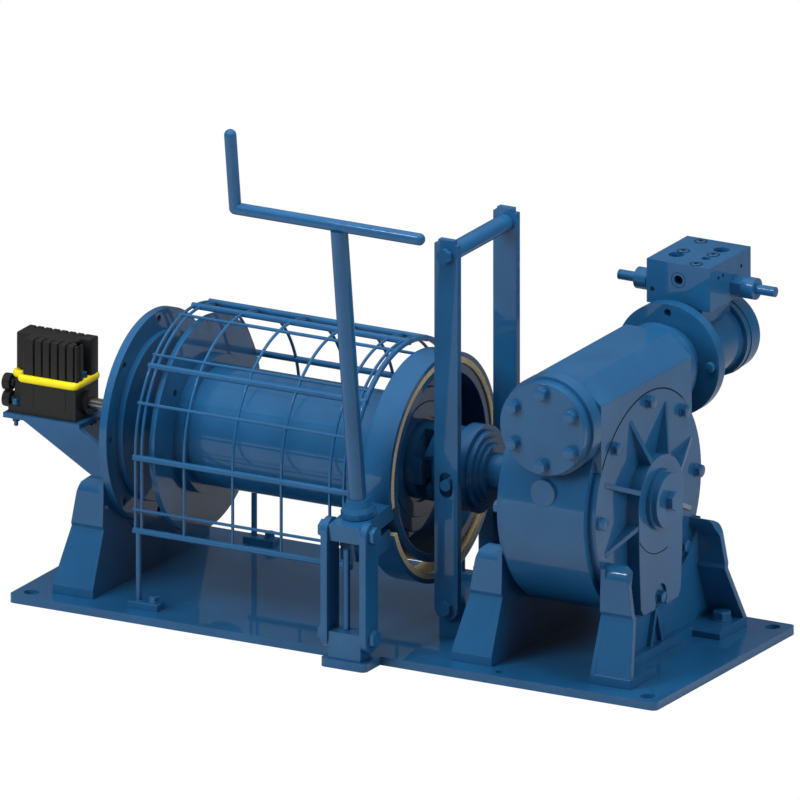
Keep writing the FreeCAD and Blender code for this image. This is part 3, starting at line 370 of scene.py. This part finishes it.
# %% [markdown]
# ## Surfaces worked out with numpy
# A turned piece is a profile carried round an axis: with axis direction d and two
# directions u and v across it, the point at height t, radius r and angle a is
# centre + t*d + r*(cos(a)*u + sin(a)*v).  A rod is a circle carried along a path in the
# same way.  In both, a row of closed loops is skinned with quads, so one function makes
# the faces of every piece, and whole arrays are computed at once.


# %% Mesh helpers
def skin(loops, endless=False):
    """Faces over a row of loops, shape (rows, around, 3): quads between neighbouring
    loops, and a fan of triangles at each end unless the row closes on itself."""
    rows, around = loops.shape[:2]
    index = np.arange(rows * around).reshape(rows, around)
    here = index if endless else index[:-1]
    ahead = np.roll(index, -1, 0) if endless else index[1:]
    quads = np.stack([here, np.roll(here, -1, 1), np.roll(ahead, -1, 1), ahead], -1)
    faces = [quads.reshape(-1, 4)]
    if not endless:
        step = np.arange(1, around - 1)
        fan = np.stack([np.zeros_like(step), step, step + 1], -1)
        faces += [index[0][fan[:, ::-1]], index[-1][fan]]
    return loops.reshape(-1, 3), faces


def join(parts):
    """One list of points and faces from several (points, faces) pairs."""
    points, faces, count = [], [], 0
    for some_points, some_faces in parts:
        points.append(some_points)
        faces += [f + count for f in some_faces]
        count += len(some_points)
    return np.concatenate(points), faces


def repeat(shape, places):
    """The same shape set down at each place, all in one mesh."""
    points, faces = shape
    places = np.asarray(places, float).reshape(-1, 3)
    moved = (points[None] + places[:, None]).reshape(-1, 3)
    shift = (np.arange(len(places)) * len(points))[:, None, None]
    return moved, [(f[None] + shift).reshape(-1, f.shape[1]) for f in faces]


def publish(name, shape, finish, body="frame", crease=35.0, over=()):
    """Make a mesh object that rides on a body, with edges sharper than the crease angle
    left sharp; over names the solid parts that it stands for."""
    points, faces = shape
    mesh = bpy.data.meshes.new(name)
    mesh.from_pydata(points.tolist(), [], [f for some in faces for f in some.tolist()])
    mesh.materials.append(finish)
    mesh.polygons.foreach_set("use_smooth", np.full(len(mesh.polygons), True))
    mesh.set_sharp_from_angle(angle=np.radians(crease))
    mesh.update()
    piece = bpy.data.objects.new(name, mesh)
    bpy.context.collection.objects.link(piece)
    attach(piece, body)
    if over:
        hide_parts(*over)
    print(name, len(mesh.polygons), "faces")


def around(sides):
    """Angles of that many even steps round a circle."""
    return 2 * np.pi * np.arange(sides) / sides


def across(axis):
    """Unit axis d with two directions u and v across it, so that u x v = d."""
    d = np.asarray(axis, float) / np.linalg.norm(axis)
    nearly_upright = abs(d[2]) >= 0.9
    u = np.cross(rightward if nearly_upright else upward, d)
    u /= np.linalg.norm(u)
    return d, u, np.cross(d, u)


def turned(profile, axis, centre=(0, 0, 0), sides=48, hollow=False):
    """Profile of (height, radius) pairs carried once round the axis."""
    d, u, v = across(axis)
    t, r = np.asarray(profile, float).T
    a = around(sides)
    spoke = np.cos(a)[:, None] * u + np.sin(a)[:, None] * v
    loops = np.asarray(centre, float) + t[:, None, None] * d + r[:, None, None] * spoke
    return skin(loops, endless=hollow)


def stub(radius, height, chamfer=0.0008):
    """Profile of a round stub with its top edge chamfered."""
    return [(0, radius), (height - chamfer, radius), (height, radius - chamfer),
            (height, 0)]


def rod(path, radius, normal, sides):
    """Circle carried along a path that lies in the plane with this normal: at each
    point the circle stands across the path's own direction."""
    path = np.asarray(path, float)
    along = np.gradient(path, axis=0)
    along /= np.linalg.norm(along, axis=1)[:, None]
    v = np.asarray(normal, float)[None]
    u = np.cross(v, along)
    a = around(sides)[None, :, None]
    circle = np.cos(a) * u[:, None] + np.sin(a) * v[:, None]
    return skin(path[:, None] + radius * circle)


def block(low, high, chamfer):
    """Box with chamfered edges on top: loops of four corners, drawn in at the top."""
    low, high = np.asarray(low, float), np.asarray(high, float)
    z = np.array([low[2], high[2] - chamfer, high[2]])
    inset = np.array([0, 0, chamfer])
    x0, x1 = low[0] + inset, high[0] - inset
    y0, y1 = low[1] + inset, high[1] - inset
    x = np.stack([x0, x1, x1, x0], 1)
    y = np.stack([y0, y0, y1, y1], 1)
    return skin(np.stack([x, y, np.repeat(z[:, None], 4, 1)], -1))


def ring_places(centre, radius, degrees, along_y=False):
    """Points on an upright circle: about an X axis with 0 degrees towards +Y, or about
    a Y axis with 0 degrees towards +X.  90 degrees is up in both."""
    a = np.radians(np.asarray(degrees, float))
    level, nothing, high = radius * np.cos(a), 0 * a, radius * np.sin(a)
    spokes = [level, nothing, high] if along_y else [nothing, level, high]
    return np.asarray(centre) + np.stack(spokes, 1)


# %% [markdown]
# ## Hexagon bolts
# A bolt head is forged as a hexagon and its top corners are turned off at about 30
# degrees, which leaves a round top and curved corner edges.  Both are formulas of the
# angle: the hexagon's radius is half the width across flats over the cosine of the
# angle from the nearest flat's middle, the turned cone's radius falls towards the top,
# and the head is the smaller of the two.  A plain washer lies under each head.

# %% Bolt head
washer_thick = 0.0018
head_sides = 36
head_levels = np.array([0.0, 0.70, 0.80, 0.88, 0.95, 1.0])
cone_top, cone_slope = 0.47, 1.73
washer_wide, washer_top = 0.60, 0.57


def bolt_head(flats, height, axis):
    """Hexagon head on a washer; flats is its width across flats, and the cone's and
    the washer's radii are shares of it."""
    d, u, v = across(axis)
    a = around(head_sides)
    from_flat = (a + np.pi / 6) % (np.pi / 3) - np.pi / 6
    hexagon = 0.5 * flats / np.cos(from_flat)
    t = head_levels * height
    cone = cone_top * flats + (height - t) * cone_slope
    r = np.minimum(hexagon[None], cone[:, None])
    spoke = np.cos(a)[:, None] * u + np.sin(a)[:, None] * v
    head = skin((t + washer_thick)[:, None, None] * d + r[..., None] * spoke[None])
    disc = turned([(0, washer_wide * flats), (washer_thick * 0.7, washer_wide * flats),
                   (washer_thick, washer_top * flats)], axis, sides=head_sides)
    return join([head, disc])


def bolts(name, places, axis, flats, height):
    publish(name, repeat(bolt_head(flats, height, axis), places), plate_enamel)


# %% [markdown]
# ## Bolts of the gear covers, the worm cover and the feet
# Seven bolts hold each gear cover's ring at steps of 45 degrees.  The place at the
# bottom is taken by a low round boss with a bolt in it.  Each foot of the castings has
# one large bolt on its pad.

# %% Cover and foot bolts
ring_thick = 0.0115
cover_bolt_circle = 0.1355
ring_angles = [a for a in range(0, 360, 45) if a != 270]
boss_radius, boss_high, boss_lift = 0.0143, 0.0158, 0.0005
low_bolt_rise, low_bolt_drop = 0.0156, 0.0035
cover_face = {"gear_cover_right": (low_of("gear_cover_right")[0] + ring_thick, 1),
              "gear_cover_left": (high_of("gear_cover_left")[0] - ring_thick, -1)}
for cover, (face, outward) in cover_face.items():
    middle = np.array([face, drum_axis[1], axis_z])
    places = ring_places(middle, cover_bolt_circle, ring_angles)
    boss_at = middle + np.array([outward * boss_lift, 0, -cover_bolt_circle])
    boss = turned(stub(boss_radius, boss_high), (outward, 0, 0), boss_at, sides=40)
    publish(cover + "_low_boss", boss, cast_enamel)
    low_bolt = boss_at + np.array([outward * low_bolt_rise, 0, -low_bolt_drop])
    bolts(cover + "_ring_bolts", np.vstack([places, low_bolt]), (outward, 0, 0),
          flats=0.016, height=0.0075)

worm_cover_circle = 0.0515
cover_centre = centre_of("worm_cover")
cover_centre[1] = low_of("worm_cover")[1]
places = ring_places(cover_centre, worm_cover_circle, range(30, 390, 60), along_y=True)
bolts("worm_cover_bolts", places, forward, flats=0.0165, height=0.0080)

foot_pad_top = plate_z + 0.013
foot_out, foot_aside = 0.038, 0.138
foot_x = (high_of("left_pedestal")[0] - ring_thick - foot_out,
          cover_face["gear_cover_left"][0] - foot_out,
          cover_face["gear_cover_right"][0] + foot_out)
places = [(x, side * foot_aside, foot_pad_top) for x in foot_x for side in (-1, 1)]
bolts("foot_bolts", places, upward, flats=0.024, height=0.0105)

# %% [markdown]
# ## Motor flange and motor
# The motor's flange carries round-headed studs in front and their nuts behind, and has
# one open hole at the top.  A thin seam runs round the motor where its rear part is
# bolted on.

# %% Flange and motor details
flange_low, flange_high = low_of("motor_flange"), high_of("motor_flange")
flange_circle = 0.0665
stud = turned([(0, 0.0074), (0.0042, 0.0074), (0.0056, 0.0066), (0.0062, 0.0048),
               (0.0064, 0.0)], forward, sides=32)
places = ring_places((worm_axis[0], flange_low[1], worm_axis[2]), flange_circle,
                     (0, 180, 270), along_y=True)
publish("flange_studs", repeat(stud, places), plate_enamel)
places[:, 1] = flange_high[1]
bolts("flange_nuts", places, backward, flats=0.013, height=0.007)

seam_y = high_of("hydraulic_motor")[1] - 0.024
seam_half, seam_in, seam_out = 0.0012, 0.0572, 0.0582
seam = turned([(-seam_half, seam_in), (-seam_half, seam_out), (seam_half, seam_out),
               (seam_half, seam_in)], backward, (worm_axis[0], seam_y, worm_axis[2]),
              sides=96, hollow=True)
publish("motor_end_seam", seam, plate_enamel)

# %% [markdown]
# ## Valve block
# The valve block is a drilled steel block: its screws sit in counterbores, its front
# port has a turned rim, and its cross drillings are closed by small plugs.  The shade in
# these cuts is painted: thin dark rings and discs that stand a few tenths of a
# millimetre off the block.

# %% Valve block details
mark_proud = 0.0003


def shade_ring(outer, inner, axis):
    """Flat ring that stands a little proud: painted shade along the edge of a turned
    spot face.
    """
    return turned([(0, inner), (mark_proud, inner), (mark_proud, outer), (0, outer)],
                  axis, hollow=True)


def shade_disc(radius, axis):
    """Flat disc that stands a little proud: painted shade in the mouth of a hole or
    socket.
    """
    return turned([(0, radius), (mark_proud, radius), (mark_proud, 0)], axis, sides=32)


block_low, block_high = low_of("valve_block"), high_of("valve_block")
screw_xy = block_low[:2] + np.array([[0.0280, 0.101], [0.0275, 0.053],
                                     [0.0715, 0.057], [0.0710, 0.010]])
screws = np.column_stack([screw_xy, np.full(len(screw_xy), block_high[2])])
head_high = 0.0009
screw_head = turned([(0, 0.0068), (0.0006, 0.0066), (head_high, 0.0060),
                     (head_high, 0.0)], upward, sides=32)
# Painted shade: dark rings at the counterbores' edges and dark discs in the screw
# sockets.
publish("block_counterbore_shade", repeat(shade_ring(0.0091, 0.0078, upward), screws),
        bore_shadow)
publish("block_socket_shade",
        repeat(shade_disc(0.0034, upward), screws + np.array([0, 0, head_high])),
        bore_shadow)
publish("block_screw_heads", repeat(screw_head, screws), plate_enamel)

block_wide, _, block_tall = block_high - block_low
front_port = block_low + np.array([0.5 * block_wide, 0, 0.62 * block_tall])
front_plug = block_low + np.array([0.0086, 0, 0.0204])
# Painted shade: a dark ring at the front port's rim and dark discs in the plugs' mouths.
publish("block_front_port_shade", repeat(shade_ring(0.0108, 0.0103, forward), front_port),
        bore_shadow)
publish("block_front_plug_shade", repeat(shade_disc(0.0030, forward), front_plug), bore_shadow)
side_corner = np.array([block_high[0], block_low[1], block_low[2]])
side_plugs = side_corner + np.array([[0, 0.0874, 0.0419], [0, 0.0236, 0.0425],
                                     [0, 0.0363, 0.0428]])
publish("block_side_plug_shade", repeat(shade_disc(0.0026, rightward), side_plugs),
        bore_shadow)

# %% [markdown]
# ## Rope guard of smooth round rod
# The guard is bent and welded from round bar: thin hoops, one thicker hoop at the brake
# end, long rods and thicker long tubes, and two uprights on each side with foot plates.
# The solid model has bars with few sides, which keeps the collision model small.  Here
# each bar is a true circle carried along its path, in the same places, and the three
# solid sections are replaced by it.

# %% Guard rods
hoop_radius = 0.162
outer_radius = hoop_radius + 0.0013
thin, heavy, tube = 0.0022, 0.0040, 0.0045
sides_of = {thin: 12, heavy: 16, tube: 20}
first_x, last_x = -0.3227, 0.0082
hoop_pitch, end_gap = 0.075, 0.003
foot_z = axis_z - 0.111


def bar(path, thickness, normal):
    return rod(path, thickness, normal, sides_of[thickness])


def hoop(x, thickness):
    """Leg up, half a circle over the drum, leg down."""
    arc = ring_places((x, 0, axis_z), hoop_radius, np.linspace(180, 0, 97))
    path = np.vstack([[x, -hoop_radius, foot_z], arc, [x, hoop_radius, foot_z]])
    return bar(path, thickness, rightward)


def long_bar(y, z, thickness):
    """Straight bar over the guard's whole length."""
    x0, x1 = first_x - end_gap, last_x + end_gap
    return bar([[x0, y, z], [0.5 * (x0 + x1), y, z], [x1, y, z]], thickness, upward)


hoop_x = [first_x, first_x + 0.0095] + [first_x + hoop_pitch * i for i in range(1, 5)]
hoop_x += [last_x - 0.009]
bars = [hoop(x, thin) for x in hoop_x] + [hoop(last_x, heavy)]
for radius, thickness, degrees in ((outer_radius, thin, (102, 131, 156, 38, 9)),
                                   (hoop_radius, tube, (72, 89, 137, 20))):
    bars += [long_bar(radius * np.cos(a), axis_z + radius * np.sin(a), thickness)
             for a in np.radians(degrees)]
for side in (-1, 1):
    bars.append(long_bar(side * hoop_radius, foot_z, tube))
    bars.append(long_bar(side * outer_radius, axis_z - 0.081, thin))
bars.append(long_bar(-hoop_radius, axis_z - 0.0075, tube))

pad_high, pad_half, pad_left, pad_right = 0.010, 0.010, 0.012, 0.034
pad_bolt_out = 0.024
post_low = plate_z + 0.009
pads, pad_bolts = [], []
for x in (first_x + 0.00475, last_x - 0.0045):
    for y in (-hoop_radius, hoop_radius):
        bars.append(bar([[x, y, post_low], [x, y, 0.5 * (plate_z + foot_z)],
                         [x, y, foot_z]], heavy, rightward))
        pads.append(block((x - pad_left, y - pad_half, plate_z),
                          (x + pad_right, y + pad_half, plate_z + pad_high), 0.0008))
        pad_bolts.append((x + pad_bolt_out, y, plate_z + pad_high))
publish("rope_guard_rods", join(bars + pads), plate_enamel,
        over=("rope_guard", "rope_guard_top", "rope_guard_back"))
bolts("guard_pad_bolts", pad_bolts, upward, flats=0.013, height=0.0075)

# %% [markdown]
# ## Gasket of the limit switch
# The gasket is a soft cord squeezed between base and cap, so it stands out a little
# past both.  Its path is the outline of the box with one notched corner and rounded
# corners: each corner is a curve (1-s)^2*A + 2s(1-s)*P + s^2*B between a point A before
# the corner P and a point B after it.  Its section is a squashed circle, whose cosine
# and sine are raised to a power below 1 so that the top, bottom and sides are flatter.


# %% Gasket
def rounded(corners, radius, steps=7):
    """Closed outline with each corner replaced by that curve."""
    p = np.asarray(corners, float)
    before, after = np.roll(p, 1, 0) - p, np.roll(p, -1, 0) - p
    before /= np.linalg.norm(before, axis=1)[:, None]
    after /= np.linalg.norm(after, axis=1)[:, None]
    s = np.linspace(0, 1, steps)[None, :, None]
    a, b = (p + radius * before)[:, None], (p + radius * after)[:, None]
    return ((1 - s) ** 2 * a + 2 * s * (1 - s) * p[:, None] + s ** 2 * b).reshape(-1, 2)


def corded(outline, z, wide, high, power=0.75, sides=16):
    """Squashed circle carried round a closed level outline (counter-clockwise)."""
    along = np.roll(outline, -1, 0) - np.roll(outline, 1, 0)
    along /= np.linalg.norm(along, axis=1)[:, None]
    out = np.stack([along[:, 1], -along[:, 0]], 1)
    a = around(sides)
    c, s = (np.sign(f(a)) * np.abs(f(a)) ** power for f in (np.cos, np.sin))
    flat = outline[:, None] + 0.5 * wide * c[None, :, None] * out[:, None]
    up = np.broadcast_to(z + 0.5 * high * s, flat.shape[:2])
    return skin(np.concatenate([flat, up[..., None]], -1), endless=True)


gasket_low, gasket_high = low_of("switch_gasket"), high_of("switch_gasket")
gasket_z = 0.5 * (gasket_low[2] + gasket_high[2])
notch, cord_inset, cord_round, cord_wide = 0.0165, 0.004, 0.0065, 0.0095
cord_high = gasket_high[2] - gasket_low[2] - 0.0002
x0, y0 = gasket_low[:2] + cord_inset
x1, y1 = gasket_high[:2] - cord_inset
outline = rounded([(x0 + notch, y0), (x1, y0), (x1, y1), (x0, y1), (x0, y0 + notch),
                   (x0 + notch, y0 + notch)], cord_round)
publish("gasket_cord", corded(outline, gasket_z, cord_wide, cord_high), gasket_rubber,
        over=("switch_gasket",), crease=60)

# %% [markdown]
# ## Bolts and cable glands of the limit switch
# Two bolts at opposite corners hold the switch's base, and four nuts with thread ends
# show under its plate.  The sealing nut of a cable gland is ribbed for the hand: its
# radius steps by 3 % up and down, 18 times round.

# %% Switch bolts, nuts and gland grips
base_low, base_high = low_of("switch_base"), high_of("switch_base")
bracket_top = base_low[2]
corner_in, bolt_rise, bracket_thick = 0.008, 0.010, 0.007
corner_x = (base_low[0] + corner_in, gasket_high[0] - 0.003 - corner_in)
corner_y = (base_low[1] + corner_in, base_high[1] - corner_in)
places = [(x, y, bracket_top + bolt_rise) for x, y in zip(corner_x, corner_y)]
bolts("switch_base_bolts", places, upward, flats=0.010, height=0.0065)
thread = turned(stub(0.0030, 0.0138), downward, sides=20)
nut = join([bolt_head(0.010, 0.0050, downward), thread])
places = [(corner_x[i], corner_y[j], bracket_top - bracket_thick)
          for i, j in ((0, 0), (1, 1), (0, 1), (1, 0))]
publish("switch_plate_nuts", repeat(nut, places), plate_enamel)

grip_start, grip_end, grip_edge = 0.0015, 0.0080, 0.0005
ridge_share, ridge_count, ridge_phase = 0.03, 18, 0.1
for which in ("cable_gland_lower", "cable_gland_upper"):
    gland_low, gland_high = low_of(which), high_of(which)
    middle = 0.5 * (gland_low + gland_high)
    grip_r = 0.5 * (gland_high[2] - gland_low[2])
    points, faces = turned([(grip_start, grip_r - grip_edge),
                            (grip_start + grip_edge, grip_r),
                            (grip_end - grip_edge, grip_r),
                            (grip_end, grip_r - grip_edge)], rightward,
                           (gland_low[0], middle[1], middle[2]), sides=72, hollow=True)
    spoke = points[:, 1:] - middle[1:]
    turn = np.arctan2(spoke[:, 1], spoke[:, 0])
    ridge = 1 + ridge_share * np.sign(np.sin(ridge_count * turn + ridge_phase))
    points[:, 1:] = middle[1:] + spoke * ridge[:, None]
    publish(which + "_grip", (points, faces), polyamide,
            crease=20)

# %% [markdown]
# ## Ribbed cap of the limit switch
# The cap is an upright moulding.  Its outline has a notched corner, a recess for a bolt
# and narrow slots between its ribs, front and back.  The outline is drawn once, its
# corners are rounded with the same curve as the gasket's, by no more than 0.4 of the
# shorter side that meets there, and it is stacked in levels that draw in at the top, so
# every rib ends in a rounded edge.


# %% Cap
def drawn_in(outline, distance):
    """Outline moved inwards: each point goes along the mean of its two edge normals,
    lengthened so that the edges themselves move by the distance."""
    ahead = np.roll(outline, -1, 0) - outline
    ahead /= np.linalg.norm(ahead, axis=1)[:, None]
    inward = np.stack([-ahead[:, 1], ahead[:, 0]], 1)
    both = inward + np.roll(inward, 1, 0)
    return outline + distance * 2 * both / np.sum(both * both, axis=1)[:, None]


def upright(outline, levels):
    """Stack of outlines at (height, draw-in) levels, with one flat face at each end."""
    loops = np.stack([np.column_stack([drawn_in(outline, d), np.full(len(outline), z)])
                      for z, d in levels])
    points, faces = skin(loops)
    index = np.arange(len(points)).reshape(loops.shape[:2])
    return points, [faces[0], index[0][None, ::-1], index[-1][None]]


slot_half, slot_deep, slot_pitch = 0.0008, 0.018, 0.0124


def with_slots(x_from, x_to, y, inward, xs):
    """Straight side along X with a narrow slot at each of these places."""
    way = np.sign(x_to - x_from)
    path = [(x_from, y)]
    for x in sorted(xs, key=lambda v: way * v):
        path += [(x - way * slot_half, y), (x - way * slot_half, y + inward),
                 (x + way * slot_half, y + inward), (x + way * slot_half, y)]
    return path + [(x_to, y)]


_, front, cap_foot = low_of("switch_cap")
_, back, cap_top = high_of("switch_cap")
left, right = gasket_low[0] + 0.0025, gasket_high[0] - 0.0015
cap_notch, recess_deep, recess_front, recess_back = 0.0215, 0.013, -0.0125, 0.0086
groove_deep, groove_front, groove_back = 0.003, front + 0.0060, front + 0.0075
front_slots = [right - 0.0057 - slot_pitch * i for i in range(6)]
back_slots = [left + 0.0120 + slot_pitch * i for i in range(7)]
path = with_slots(left + cap_notch, right, front, slot_deep, front_slots)
path += [(right, groove_front), (right - groove_deep, groove_front),
         (right - groove_deep, groove_back), (right, groove_back),
         (right, recess_front), (right - recess_deep, recess_front),
         (right - recess_deep, recess_back), (right, recess_back)]
path += with_slots(right, left, back, -0.6 * slot_deep, back_slots)
path += [(left, front + cap_notch), (left + cap_notch, front + cap_notch)]
path = np.array(path)
shorter_side = np.minimum(np.linalg.norm(np.roll(path, 1, 0) - path, axis=1),
                          np.linalg.norm(np.roll(path, -1, 0) - path, axis=1))
corner_round = np.minimum(0.0022, 0.4 * shorter_side)[:, None]
cap = upright(rounded(path, corner_round, steps=4),
              [(cap_foot, 0.0), (cap_top - 0.0022, 0.0), (cap_top - 0.0008, 0.0004),
               (cap_top - 0.0002, 0.0009), (cap_top, 0.0015)])
publish("cap_moulding", cap, polyamide, over=("switch_cap",),
        crease=30)
bolts("cap_bolt", [(right - 0.006, -0.002, cap_foot)], upward, flats=0.009,
      height=0.006)

# %% [markdown]
# ## Base of the limit switch
# The solid base has a notch in its rear corner, which a plain block fills here.  Two
# fine mould lines run down the base's front; the shade in them is painted as thin dark
# strips.

# %% Base corner and mould lines
corner = block((base_high[0] - 0.0245, base_high[1] - cap_notch - 0.001,
                base_low[2] + 0.0095),
               (gasket_high[0] - 0.0035, base_high[1], gasket_low[2]), 0.0004)
publish("base_back_corner", corner, polyamide)
line_half, line_edge = 0.0004, 0.0001
mould_line_strips = [block((x - line_half, base_low[1] - line_edge, base_low[2] + 0.0105),
                     (x + line_half, base_low[1] + 0.001, base_high[2] - 0.0005),
                     line_edge)
               for x in (base_low[0] + 0.039, base_low[0] + 0.0885)]
# Painted shade in the mould lines: thin dark strips on the base's front.
publish("base_mould_line_shade", join(mould_line_strips), bore_shadow)

# %% [markdown]
# ## Small marks on the castings and the drum
# A fine groove is turned into the right-hand panel below the boss, and the drum's
# flange has two holes for the rope's end.  The shade in both is painted: the groove is a
# thin dark rod that lies in the surface, and the holes are dark discs on the flange.

# %% Groove and rope holes
panel_face = cover_face["gear_cover_right"][0] + 0.0198
groove_path = ring_places((panel_face, 0, axis_z), 0.075, np.linspace(218, 283, 40))
# Painted shade in the groove: a thin dark rod.
publish("panel_groove_shade", rod(groove_path, 0.0007, rightward, 8), bore_shadow)
flange_face = low_of("drum_barrel")[0]
rope_holes = [(flange_face, -0.092, axis_z + 0.068),
              (flange_face, 0.0587, axis_z + 0.066)]
# Painted shade in the rope holes: dark discs standing a little proud.
publish("rope_hole_shade", repeat(shade_disc(0.0042, rightward), rope_holes), bore_shadow,
        "drum")

# %% [markdown]
# ## Bearing disc and the joint round the gear cover
# The left pedestal's bearing is closed by a raised turned disc on the side of the drum.
# Where the right gear cover is let into the housing, a narrow gap shows along the
# ring's edge; its shade is painted as a thin dark rod too.

# %% Disc and gap
ring_face = high_of("left_pedestal")[0]
disc_sunk, disc_proud = 0.0055, 0.0088
disc_in, disc_out, disc_edge = 0.0275, 0.1178, 0.0008
disc = turned([(-disc_sunk, disc_in), (disc_proud, disc_in),
               (disc_proud, disc_out - disc_edge), (disc_proud - 0.0006, disc_out),
               (-disc_sunk, disc_out)], rightward, (ring_face, 0, axis_z), sides=128,
              hollow=True)
publish("bearing_disc", disc, plate_enamel)
case_side = high_of("gear_case")[0]
gap_path = ring_places((case_side, 0, axis_z), 0.1492, np.linspace(50, 150, 60))
# Painted shade in the gap round the gear cover's ring: a thin dark rod.
publish("cover_gap_shade", rod(gap_path, 0.0009, rightward, 8), bore_shadow)

# %% [markdown]
# ## Spindle collar and drum web
# The brake spindle turns in a faceted collar, which leans with it.  The brake drum's
# web is turned in shallow steps that catch the light as thin rings.

# %% Collar and steps
lean = np.radians(7.5)
spindle_axis = np.array([0, -np.sin(lean), np.cos(lean)])
seat = np.array(next(j["pos_m"] for j in frame["record"]["behaviour"]["joints"]
                     if j["name"] == "brake_handle_turn"))
collar = turned([(0.0004, 0.0233), (0.0014, 0.0245), (0.0090, 0.0245), (0.0150, 0.0209),
                 (0.0152, 0.0160)], spindle_axis, seat, sides=12)
publish("spindle_collar", collar, plate_enamel, "spindle", crease=18)

web_face = 0.030
steps = turned([(-0.0004, 0.0590), (0.0036, 0.0590), (0.0036, 0.0790), (0.0024, 0.0800),
                (0.0024, 0.0985), (0.0010, 0.1000), (-0.0004, 0.1000)],
               rightward, (web_face, 0, axis_z), sides=128, hollow=True)
publish("drum_web_steps", steps, plate_enamel, "drum", crease=25)

# %% [markdown]
# ## Lugs of the motor's own flange
# The motor's own flange has two lugs where it is bolted on.  Their outline is a belt
# round three circles, a large one in the middle and a small one at each lug: seen from
# the centre, its radius at angle a is that of the large circle, then that of the
# straight belt, then that of the small circle.

# %% Motor lugs
turn = around(96)
lug_turn, lug_reach, lug_r, body_r = np.radians(-38), 0.058, 0.013, 0.047
toward = np.abs(np.cos(turn - lug_turn))
aside = np.abs(np.sin(turn - lug_turn))
off_lug = np.arctan2(aside, toward)
belt = np.arccos((body_r - lug_r) / lug_reach)
slope_r = body_r / np.maximum(np.cos(off_lug - belt), 0.2)
half_chord = np.sqrt(np.maximum(lug_r ** 2 - (lug_reach * aside) ** 2, 0))
tip_r = lug_reach * toward + half_chord
belt_r = np.where(off_lug < belt, slope_r, body_r)
near_tip = aside * lug_reach < lug_r
lug_outline = np.where(near_tip, np.minimum(belt_r, tip_r), belt_r)
loops = np.stack([np.stack([worm_axis[0] + (lug_outline - d) * np.cos(turn),
                            np.full_like(turn, flange_high[1] + t),
                            worm_axis[2] - (lug_outline - d) * np.sin(turn)], 1)
                  for t, d in ((0.0005, 0.0), (0.0120, 0.0), (0.0128, 0.0008))])
publish("motor_lugs", skin(loops), cast_enamel)
